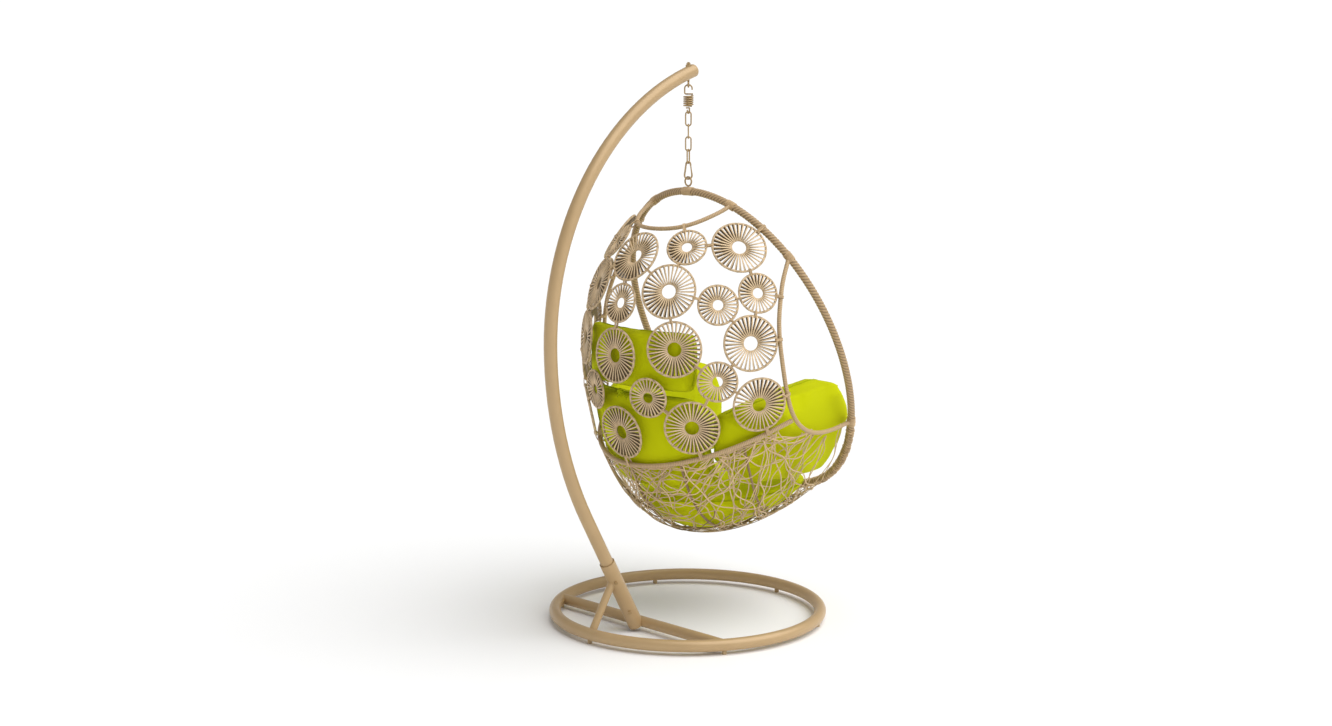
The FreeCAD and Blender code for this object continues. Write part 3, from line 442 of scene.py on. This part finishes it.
def finish_piece(name, work, material, body):
    """Closes the open ends, turns the faces outwards and hands the piece to its CAD body."""
    open_edges = [edge for edge in work.edges if edge.is_boundary]
    bmesh.ops.holes_fill(work, edges=open_edges, sides=0)
    bmesh.ops.recalc_face_normals(work, faces=work.faces)
    mesh = bpy.data.meshes.new(name)
    work.to_mesh(mesh)
    work.free()
    mesh.shade_smooth()
    mesh.materials.append(material)
    piece = bpy.data.objects.new(name, mesh)
    bpy.context.scene.collection.objects.link(piece)
    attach(piece, body)
    print(name, len(mesh.polygons), "faces")
    return piece


# %% [markdown]
# ## The shape of the egg
# The basket is half an egg. Its opening is an oval hoop that leans back, and each slice square to the
# hoop is half an ellipse. The size and the lean of the oval are measured from the CAD rim, so the formula
# here can't drift away from it.

# %% The egg
ROPE_RADIUS = 0.0135
rim_low, rim_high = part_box("rim_wrap")
RIM_TOP = Vector((0, 0, rim_high.z - ROPE_RADIUS))
RIM_FOOT = Vector((rim_high.x - ROPE_RADIUS, 0, rim_low.z + ROPE_RADIUS))
DOWN_RIM = (RIM_FOOT - RIM_TOP).normalized()
TO_BACK = Vector((DOWN_RIM.z, 0, -DOWN_RIM.x))
EGG_LENGTH = (RIM_FOOT - RIM_TOP).length
EGG_HALF_WIDTH = rim_high.y - ROPE_RADIUS
QUARTER = math.pi / 2


def egg_point(along, turn):
    """A point of the egg: along is 0 at the rim's top and pi at its foot, turn is 0 at the back."""
    down = EGG_LENGTH * (1 - math.cos(along)) / 2
    width = math.sin(along) * (EGG_HALF_WIDTH + 0.0106 * math.cos(along))
    depth = math.sin(along) * (0.7173 - 0.1209 * math.cos(along) + 0.065 * math.cos(2 * along))
    side = Vector((0, width * math.sin(turn), 0))
    return RIM_TOP + DOWN_RIM * down + side + TO_BACK * depth * math.cos(turn)


def along_at(distance):
    return math.acos(1 - 2 * distance / EGG_LENGTH)


print("egg length", round(EGG_LENGTH, 3), "half width", round(EGG_HALF_WIDTH, 3))

# %% [markdown]
# ## The rope rim
# The hoop is wrapped in a twisted rope. Its four strands wind round the tube, so a slice of it is a round
# with four lobes that turns as it goes along. The number of grooves is made whole, so that the rope meets
# itself.

# %% Rope rim
STRANDS_IN_ROPE = 4
GROOVE_STEP = 0.012
rim_oval = [egg_point(2 * math.pi * step / 240, QUARTER) for step in range(240)]
rim_line = even_line(rim_oval, 0.0016, closed=True)
rim_length = running_length(rim_line, closed=True)[-1]
grooves = round(rim_length / GROOVE_STEP)


def rope_winding(run, angle):
    phase = STRANDS_IN_ROPE * angle + 2 * math.pi * grooves * run / rim_length
    return abs(math.cos(phase / 2)) ** 0.9


rim_work = roll(new_work(), rim_line, ROPE_RADIUS, 20, closed=True, winding=rope_winding, relief=0.0024)
rope_rim = finish_piece("rope_rim", rim_work, ROPE, "basket")
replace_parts(rope_rim, "rim_wrap")
print("rim", round(rim_length, 2), "m long with", grooves, "grooves")

# %% [markdown]
# ## The wrapped bars
# Four bars stiffen the wicker: one round the back at the height of the seat, one behind the top, and one
# down each side that ends as an arm rest. Each is a tube wound with a strand, turn beside turn. Their
# lines are given by a few places on the egg and rounded by cutting corners, as a bent tube is.

# %% Lines of the bars
SIDE_BAR_PLACES = [(0.236, 90), (0.278, 81.5), (0.318, 77), (0.378, 72.2), (0.446, 69.3), (0.543, 67.2),
                   (0.609, 66.4), (0.679, 66.2), (0.745, 67.5), (0.800, 70.4), (0.840, 74.5),
                   (0.872, 80.5), (0.905, 90)]
BELT_DISTANCE = 0.722
BELT_DROP = 0.006
BELT_END = 66
TOP_BAR_HALF = [(0.020, 0.190, 1.503), (-0.010, 0.187, 1.488), (-0.062, 0.172, 1.466),
                (-0.115, 0.142, 1.443), (-0.153, 0.097, 1.428), (-0.172, 0.035, 1.422)]


def side_bar_line(side):
    places = [egg_point(along_at(down), side * math.radians(turn)) for down, turn in SIDE_BAR_PLACES]
    return smooth_line(places)


def belt_line():
    turns = [math.radians(BELT_END) * (step / 6 - 1) for step in range(13)]
    distances = [BELT_DISTANCE + BELT_DROP * (1 - math.cos(turn)) for turn in turns]
    return smooth_line([egg_point(along_at(distance), turn) for distance, turn in zip(distances, turns)])


def top_bar_line():
    left = [Vector(place) for place in TOP_BAR_HALF]
    right = [Vector((place.x, -place.y, place.z)) for place in reversed(left)]
    return smooth_line(left + right)


bar_lines = (side_bar_line(1), belt_line(), top_bar_line())
print("bars:", [round(running_length(line)[-1], 2) for line in bar_lines])

# %% Wind the bars
WINDING_STEP = 0.0062


def bar_winding(run, angle):
    """One strand wound round and round, turn beside turn."""
    phase = angle + 2 * math.pi * run / WINDING_STEP
    return abs(math.cos(phase / 2)) ** 0.45


BARS = [
    ("wound_side_bar_left", side_bar_line(1), 0.0078, "side_bar_left"),
    ("wound_side_bar_right", side_bar_line(-1), 0.0078, "side_bar_right"),
    ("wound_belt_bar", belt_line(), 0.0085, "belt_bar"),
    ("wound_top_bar", top_bar_line(), 0.0075, "top_bar"),
]
for name, line, radius, node in BARS:
    bar_work = roll(new_work(), even_line(line, 0.00125), radius, 12, winding=bar_winding, relief=0.0009,
                    tone=0.7)
    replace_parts(finish_piece(name, bar_work, BAR_WICKER, "basket"), node)

# %% [markdown]
# ## The wicker discs
# A disc is a wire ring, a small hub ring and flat strands wound between them, so there is a strand on the
# front and one on the back at every spoke, with a middle strand between them that is painted almost black
# as shade. Seen at an angle the back one shows beside the front one; it is painted darker as the front
# one's shade. One wheel is built flat and then laid on each CAD disc, whose centre and tilt are measured
# from its mesh: the tilt is the direction in which the disc is thinnest.

# %% Measure the discs
EGG_MIDDLE = Vector((0.05, 0, 0.95))
disc_nodes = sorted(name for name in frame["nodes"] if name.startswith("disc_"))


def measure_disc(node_name):
    """Centre, outward normal and radius of a CAD disc."""
    low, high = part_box(node_name)
    centre = (low + high) / 2
    corners = numpy.array([vert.co - centre for vert in frame["nodes"][node_name].data.vertices])
    normal = Vector(numpy.linalg.svd(corners, full_matrices=False)[2][2])
    if normal.dot(centre - EGG_MIDDLE) < 0:
        normal.negate()
    return centre, normal.normalized(), float(numpy.linalg.norm(corners, axis=1).max())


disc_facts = {name: measure_disc(name) for name in disc_nodes}
print(len(disc_facts), "discs, radii", sorted({round(fact[2], 3) for fact in disc_facts.values()}))

# %% Build a wheel
RING_WIRE = 0.0040
HUB_WIRE = 0.0024
SPOKE_LAYER = 0.0034
SPOKE_SHIFT = 0.24


def flat_circle(radius, steps):
    angles = [2 * math.pi * step / steps for step in range(steps)]
    return [Vector((radius * math.cos(angle), radius * math.sin(angle), 0)) for angle in angles]


def ring_winding(run, angle):
    return abs(math.cos(angle / 2 + math.pi * run / 0.0051)) ** 0.3


def add_spokes(work, radius, count, height, shift, tone):
    """Flat strands from the hub to the ring on one face of the wheel."""
    tone_layer = work.verts.layers.float["tone"]
    crown_layer = work.verts.layers.float["crown"]
    inner = radius * 0.25 + HUB_WIRE
    outer = radius - RING_WIRE
    strands = []
    for number in range(count):
        box = bmesh.ops.create_cube(work, size=1.0)["verts"]
        bmesh.ops.scale(work, vec=(outer - inner, 0.0046, 0.0018), verts=box)
        bmesh.ops.translate(work, vec=((outer + inner) / 2, 0, height), verts=box)
        angle = 2 * math.pi * (number + shift) / count
        bmesh.ops.rotate(work, cent=(0, 0, 0), matrix=Matrix.Rotation(angle, 3, "Z"), verts=box)
        shade = tone * random.uniform(0.82, 1.08)
        for vert in box:
            vert[tone_layer] = shade
            vert[crown_layer] = 1.0
        strands += box
    edges = list({edge for vert in strands for edge in vert.link_edges if edge.calc_length() > 0.02})
    bmesh.ops.bevel(work, geom=edges, offset=0.0006, segments=1, profile=0.5, affect="EDGES", material=-1)


def wheel(radius):
    """A flat wheel round the Z axis."""
    work = new_work()
    count = 34 if radius > 0.085 else 28
    roll(work, flat_circle(radius - RING_WIRE, 96), RING_WIRE, 8, closed=True, winding=ring_winding,
         relief=0.0003, tone=0.8)
    roll(work, flat_circle(radius * 0.25 + HUB_WIRE, 40), HUB_WIRE, 6, closed=True, tone=0.75)
    # painted shade: the front strands get a light tone (0.95), the middle strands a near-black one (0.12) and
    # the back strands a dark one (0.3), standing in for the shade between and behind the front strands
    add_spokes(work, radius, count, SPOKE_LAYER, 0, 0.95)
    add_spokes(work, radius, count, 0, SPOKE_SHIFT / 2, 0.12)
    add_spokes(work, radius, count, -SPOKE_LAYER, SPOKE_SHIFT, 0.3)
    return work


random.seed(7)
print("a wheel has strands on two faces and a dark core between them")

# %% Lay the wheels on the egg
for name, (centre, normal, radius) in disc_facts.items():
    wheel_work = wheel(radius)
    turn = normal.to_track_quat("Z", "Y").to_matrix().to_4x4()
    turn.translation = centre
    bmesh.ops.transform(wheel_work, matrix=turn, verts=wheel_work.verts)
    piece = finish_piece("wheel_" + name[5:], wheel_work, DISC_WICKER, "basket")
    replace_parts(piece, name)

# %% [markdown]
# ## The ties
# Wherever two discs touch, or a disc meets a bar or the rim, a strand is wound three times round both.
# The places are found, not listed: two discs whose rings are closer than a finger's width get a tie
# between them, and for each bar the nearest point to each disc's ring is looked up in a search tree.


# %% One tie
def tie(work, first, second, outward, first_radius, second_radius, loops=3):
    """A strand wound round two round wires that lie side by side."""
    across = (second - first).normalized()
    outward = (outward - across * outward.dot(across)).normalized()
    length = across.cross(outward)
    for number in range(loops):
        shift = length * (number - (loops - 1) / 2) * 0.0026
        lean = length * random.uniform(-0.0012, 0.0012)
        line = []
        for step in range(16):
            angle = 2 * math.pi * step / 16
            middle, radius = (second, second_radius) if math.cos(angle) > 0 else (first, first_radius)
            reach = across * math.cos(angle) + outward * math.sin(angle)
            line.append(middle + reach * (radius + 0.0011) + shift + lean * math.cos(angle))
        roll(work, line, 0.0014, 5, closed=True, tone=random.uniform(0.5, 0.9))


def toward(centre, normal, target, radius):
    """The point on a disc's ring that is nearest a target."""
    way = target - centre
    way -= normal * way.dot(normal)
    return centre + way.normalized() * (radius - RING_WIRE)


print("ties are wound from three loops")

# %% Tie the discs to each other
DISC_GAP = 0.020
tie_work = new_work()
tie_count = 0
for index, name in enumerate(disc_nodes):
    centre, normal, radius = disc_facts[name]
    for other in disc_nodes[index + 1:]:
        other_centre, other_normal, other_radius = disc_facts[other]
        first = toward(centre, normal, other_centre, radius)
        second = toward(other_centre, other_normal, first, other_radius)
        first = toward(centre, normal, second, radius)
        if (second - first).length < 2 * RING_WIRE + DISC_GAP:
            tie(tie_work, first, second, normal + other_normal, RING_WIRE, RING_WIRE)
            tie_count += 1
print(tie_count, "ties between discs")

# %% Tie the discs to the bars
BAR_GAP = 0.020


def tree_of(node_name):
    """A search tree of a CAD node's surface."""
    mesh = bmesh.new()
    mesh.from_mesh(frame["nodes"][node_name].data)
    tree = BVHTree.FromBMesh(mesh)
    mesh.free()
    return tree


bar_radii = {"top_bar": 0.0075, "side_bar_left": 0.0078, "side_bar_right": 0.0078, "belt_bar": 0.0085,
             "rim_wrap": ROPE_RADIUS}
bar_trees = {name: tree_of(name) for name in bar_radii}
bar_ties = 0
for name, (centre, normal, radius) in disc_facts.items():
    turn = normal.to_track_quat("Z", "Y")
    ring = [centre + turn @ spot for spot in flat_circle(radius - RING_WIRE, 72)]
    for bar, tree in bar_trees.items():
        found = min(((tree.find_nearest(spot), spot) for spot in ring), key=lambda pair: pair[0][3])
        (place, _, _, distance), spot = found
        if distance < RING_WIRE + BAR_GAP:
            bar_centre = place + (place - spot).normalized() * bar_radii[bar]
            tie(tie_work, spot, bar_centre, normal, RING_WIRE, bar_radii[bar], loops=4)
            bar_ties += 1
finish_piece("disc_ties", tie_work, STRAND_WICKER, "basket")
print(bar_ties, "ties to the bars")

# %% [markdown]
# ## Lashings at the ends of the bars
# Where a bar meets the rim a strand is wound round the rim on both sides of it. A lashing is the same
# loop as a tie, round one tube only.


# %% Lashings
def lashing(work, line, middle, turns, radius, wire=0.0016):
    """Loops round a line, beside each other, about one of its points."""
    step = 0.0030
    points = even_line(line, step, closed=True)
    start = min(range(len(points)), key=lambda k: (points[k] - middle).length)
    for number in range(turns):
        place = start + number - turns // 2
        here = points[place % len(points)]
        along = (points[(place + 1) % len(points)] - points[place % len(points)]).normalized()
        turn = along.to_track_quat("Z", "Y")
        loop = [here + turn @ spot for spot in flat_circle(radius, 18)]
        roll(work, loop, wire, 5, closed=True, tone=random.uniform(0.45, 0.9))


lash_work = new_work()
bar_ends = [side_bar_line(side)[end] for side in (1, -1) for end in (0, -1)]
bar_ends += [top_bar_line()[0], top_bar_line()[-1]]
for end in bar_ends:
    lashing(lash_work, rim_line, end, 11, ROPE_RADIUS + 0.0006)
lashing(lash_work, rim_line, RIM_TOP, 15, ROPE_RADIUS + 0.0006)
finish_piece("rim_lashings", lash_work, BAR_WICKER, "basket")
print(len(bar_ends) + 1, "lashings")

# %% [markdown]
# ## The bird's nest bowl
# Under the belt the egg is a nest of strands that cross at random. Each strand is stretched between two
# places on the bowl's edge and lies on the egg. To find its line, a straight chord between the two places
# is bowed a little and thrown outwards from the middle of the basket onto the CAD bowl with ray casts.
# The seed is fixed, so that the nest is the same each time.

# %% Places on the edge of the bowl
random.seed(21)
NEST_MIDDLE = Vector((0.14, 0, 0.86))
bowl_tree = tree_of("bowl_weave")
bowl_corners = [vert.co.copy() for vert in frame["nodes"]["bowl_weave"].data.vertices]
edge_tree = {name: bar_trees[name] for name in ("belt_bar", "side_bar_left", "side_bar_right", "rim_wrap")}
bowl_edge = [corner for corner in bowl_corners
             if min(tree.find_nearest(corner)[3] for tree in edge_tree.values()) < 0.012]
bowl_low = min(corner.z for corner in bowl_corners)
print(len(bowl_edge), "of", len(bowl_corners), "corners are on the edge; lowest at", round(bowl_low, 3))


# %% Stretch the strands
def nest_line(first, second, bow, lift):
    """A line on the bowl between two of its points, or None if it leaves the bowl."""
    chord = second - first
    side = chord.cross(first - NEST_MIDDLE).normalized()
    steps = max(8, round(chord.length / 0.012))
    curl = random.uniform(0.004, 0.013)
    curls = chord.length * random.uniform(4, 10)
    phase = random.uniform(0, 2 * math.pi)
    line = []
    normals = []
    for step in range(steps + 1):
        share = step / steps
        sway = math.sin(math.pi * share) * bow + curl * math.sin(2 * math.pi * curls * share + phase)
        aim = first.lerp(second, share) + side * sway - NEST_MIDDLE
        place, normal, _, _ = bowl_tree.ray_cast(NEST_MIDDLE, aim.normalized())
        if place is None:
            return None, None
        outward = aim.normalized()
        line.append(place + outward * lift)
        normals.append(normal if normal.dot(outward) > 0 else -normal)
    return line, normals


def stretch_strands(work, count, ends, reach, bow, radius, tones):
    """Adds strands between random pairs of places that are within reach of each other."""
    made = 0
    tries = 0
    while made < count and tries < 60 * count:
        tries += 1
        first, second = random.choice(ends[0]), random.choice(ends[1])
        if not reach[0] < (first - second).length < reach[1]:
            continue
        line, normals = nest_line(first, second, random.uniform(-bow, bow), random.uniform(-0.001, 0.0055))
        if line is None:
            continue
        roll(work, line, radius, 5, flat=0.6, tone=random.uniform(*tones), faces=normals)
        made += 1
    return made


nest_work = new_work()
low_corners = [corner for corner in bowl_corners if corner.z < bowl_low + 0.16]
long_ones = stretch_strands(nest_work, 62, (bowl_edge, bowl_edge), (0.20, 0.80), 0.16, 0.0024, (0.6, 1.0))
# the low and keel strands get tone ranges that reach much darker than the long ones, so the nest is darker
# towards the bottom
low_ones = stretch_strands(nest_work, 72, (bowl_edge, low_corners), (0.12, 0.45), 0.10, 0.0023, (0.35, 1.0))
keel_ones = stretch_strands(nest_work, 80, (low_corners, low_corners), (0.08, 0.35), 0.06, 0.0021,
                            (0.1, 0.95))
nest = finish_piece("nest_strands", nest_work, STRAND_WICKER, "basket")
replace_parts(nest, "bowl_weave")
print(long_ones, "long,", low_ones, "low and", keel_ones, "keel strands")

# %% [markdown]
# ## Strands round the foot of the rim
# The nest is hung on the rim: its strands go round the rope at a slant, again and again, from one arm
# rest down and up to the other. Slanted loops round the rim's line show this.

# %% Nest strands round the rim
random.seed(5)
wrap_work = new_work()
low_rim_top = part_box("side_bar_left")[0].z + 0.03
low_rim = [(index, spot) for index, spot in enumerate(rim_line) if spot.z < low_rim_top]
for number in range(0, len(low_rim), 9):
    index, spot = low_rim[min(number + random.randrange(6), len(low_rim) - 1)]
    along = (rim_line[(index + 3) % len(rim_line)] - spot).normalized()
    slant = random.uniform(-0.5, 0.5)
    turn = along.to_track_quat("Z", "Y")
    grow = ROPE_RADIUS + random.uniform(0.0005, 0.002)
    loop = [spot + turn @ (step + Vector((0, 0, slant * step.x))) for step in flat_circle(grow, 16)]
    roll(wrap_work, loop, 0.0017, 5, closed=True, tone=random.uniform(0.4, 0.95))
finish_piece("nest_strands_on_rim", wrap_work, STRAND_WICKER, "basket")

# %% [markdown]
# ## The spring
# A close coil of spring wire takes up the sitter's weight. Its top turn hangs on the upper hook and its
# lowest turn carries the lower hook, so the piece blends between those two bodies and stretches as a
# spring does. A helix is only a line, so `roll` draws it too.

# %% Spring
SPRING_WIRE = 0.0026
coil_low, coil_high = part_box("coil_spring")
coil_radius = (coil_high.x - coil_low.x) / 2 - SPRING_WIRE
coil_bottom = coil_low.z + SPRING_WIRE
coil_top = coil_high.z - SPRING_WIRE
COIL_TURNS = 5
coil_line = []
for step in range(COIL_TURNS * 40 + 1):
    angle = 2 * math.pi * step / 40
    height = coil_bottom + (coil_top - coil_bottom) * step / (COIL_TURNS * 40)
    coil_line.append(Vector((coil_radius * math.cos(angle), coil_radius * math.sin(angle), height)))
spring_work = roll(new_work(), coil_line, SPRING_WIRE, 10)
spring_mesh = finish_piece("spring_coil", spring_work, HARDWARE, "spring_top")
spring_mesh.parent = None
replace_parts(spring_mesh, "coil_spring")
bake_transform(spring_mesh, "spring_top", "spring_end", start=(0, 0, coil_top), end=(0, 0, coil_bottom))
print("coil", round(coil_top - coil_bottom, 4), "m high")

# %% [markdown]
# ## The cushions
# Five stuffed cushions line the basket: one in the bowl, two stacked at the back and a bolster on each
# side. Each starts as its CAD solid, drawn in a little and remeshed into even squares. Then it becomes
# cloth with air pressure inside for twenty steps, which crowns its faces and pulls its edges in as
# filling does. A cap on how far a point may move keeps it in its place.


# %% Start of a cushion
def cushion_start(node_name, name, inset):
    """A slightly smaller copy of the CAD solid as even squares."""
    work = bmesh.new()
    work.from_mesh(frame["nodes"][node_name].data)
    bmesh.ops.remove_doubles(work, verts=work.verts, dist=1e-5)
    bmesh.ops.recalc_face_normals(work, faces=work.faces)
    work.normal_update()
    moved = [(vert, vert.co - vert.normal * inset) for vert in work.verts]
    for vert, place in moved:
        vert.co = place
    mesh = bpy.data.meshes.new(name)
    work.to_mesh(mesh)
    work.free()
    cushion = bpy.data.objects.new(name, mesh)
    bpy.context.scene.collection.objects.link(cushion)
    squares = cushion.modifiers.new("even_squares", "REMESH")
    squares.mode = "VOXEL"
    squares.voxel_size = 0.008
    bake_modifiers(cushion)
    return cushion


def bake_modifiers(cushion):
    """Keeps the shape that the modifiers make and drops them."""
    graph = bpy.context.evaluated_depsgraph_get()
    shaped = bpy.data.meshes.new_from_object(cushion.evaluated_get(graph))
    cushion.modifiers.clear()
    cushion.data = shaped


def soften(cushion, rounds, factor=0.5):
    """Rounds the sharp edges of the solid."""
    work = bmesh.new()
    work.from_mesh(cushion.data)
    for _ in range(rounds):
        bmesh.ops.smooth_vert(work, verts=work.verts, factor=factor, use_axis_x=True, use_axis_y=True,
                              use_axis_z=True)
    work.to_mesh(cushion.data)
    work.free()


print("cushions start from their CAD solids")


# %% Fill a cushion
def fill_cushion(cushion, pressure, cap):
    """Lets the cloth swell for twenty steps, and holds each point within the cap."""
    start = [vert.co.copy() for vert in cushion.data.vertices]
    cloth = cushion.modifiers.new("filling", "CLOTH")
    settings = cloth.settings
    settings.quality = 5
    settings.mass = 0.3
    settings.tension_stiffness = 12
    settings.compression_stiffness = 12
    settings.shear_stiffness = 4
    settings.bending_stiffness = 0.4
    settings.use_pressure = True
    settings.uniform_pressure_force = pressure
    settings.effector_weights.gravity = 0
    scene = bpy.context.scene
    for number in range(1, 21):
        scene.frame_set(number)
    bake_modifiers(cushion)
    scene.frame_set(1)
    for vert, before in zip(cushion.data.vertices, start):
        step = vert.co - before
        if step.length > cap:
            vert.co = before + step.normalized() * cap


print("filling: air pressure inside cloth")

# %% [markdown]
# Piping is a cord sewn into the seam that goes round a cushion. The seam is where the cushion is widest,
# seen square to its large faces, so for each direction round the middle the farthest point is taken, and
# the line is smoothed.


# %% Piping
def seam_line(cushion, across, up, steps=120):
    """The widest line round a cushion in the plane of two directions."""
    spots = [vert.co for vert in cushion.data.vertices]
    middle = sum(spots, Vector()) / len(spots)
    farthest = [None] * steps
    for spot in spots:
        way = spot - middle
        level = Vector((way.dot(across), way.dot(up)))
        slot = int((math.atan2(level.y, level.x) / (2 * math.pi)) % 1 * steps) % steps
        if farthest[slot] is None or level.length > farthest[slot][0]:
            farthest[slot] = (level.length, spot.copy())
    line = [found[1] for found in farthest if found is not None]
    for _ in range(3):
        line = [(line[k - 1] + line[k] * 2 + line[(k + 1) % len(line)]) / 4 for k in range(len(line))]
    return even_line(line, 0.006, closed=True)


def add_piping(cushion, name, across, up):
    work = roll(new_work(), seam_line(cushion, across, up), 0.0032, 8, closed=True)
    return finish_piece(name, work, LIME_PIPING, "basket")


X, Y, Z = Vector((1, 0, 0)), Vector((0, 1, 0)), Vector((0, 0, 1))
print("piping follows the widest line")

# %% Make the cushions
CUSHIONS = [
    ("seat_cushion", "seat_pad", X, Y, 0.9),
    ("back_cushion_lower", "back_pad_lower", Y, Z, 0.85),
    ("back_cushion_upper", "back_pad_upper", Y, Z, 0.85),
    ("side_cushion_left", "bolster_left", X, Z, 0.85),
    ("side_cushion_right", "bolster_right", X, Z, 0.85),
]
for node_name, name, across, up, fill in CUSHIONS:
    cushion = cushion_start(node_name, name, 0.004)
    soften(cushion, 6)
    fill_cushion(cushion, 3.0, 0.007)
    soften(cushion, 8)
    cushion.data.shade_smooth()
    cushion.data.materials.clear()
    cushion.data.materials.append(LIME_CLOTH)
    add_piping(cushion, name + "_piping", across, up)
    rounder = cushion.modifiers.new("rounder", "SUBSURF")
    rounder.levels = rounder.render_levels = 1
    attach(cushion, "basket")
    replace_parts(cushion, node_name)
    print(name, len(cushion.data.polygons), "faces")

# %% [markdown]
# A cord is knotted round the seam between the two back cushions. It is three small loops that cross and two
# short tails, on the line where the cushions meet.

# %% Knot at the back
lower_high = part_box("back_cushion_lower")[1]
upper_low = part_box("back_cushion_upper")[0]
KNOT_WIRE = 0.003
KNOT_LOOP = 0.009
knot_middle = Vector((upper_low.x - 0.002, 0, (lower_high.z + upper_low.z) / 2))
knot_work = new_work()
for lean in (-50, 10, 70):
    turn = Matrix.Rotation(math.radians(lean), 3, "X") @ Matrix.Rotation(math.radians(25), 3, "Y")
    loop = [knot_middle + turn @ spot for spot in flat_circle(KNOT_LOOP, 16)]
    roll(knot_work, loop, KNOT_WIRE, 8, closed=True)
for side in (-1, 1):
    tail = [knot_middle + Vector((0.002 * step, side * 0.006 * step, -0.006 * step)) for step in range(1, 5)]
    roll(knot_work, tail, KNOT_WIRE * 0.8, 8)
finish_piece("back_knot", knot_work, LIME_PIPING, "basket")
print("knot at", [round(value, 3) for value in knot_middle])
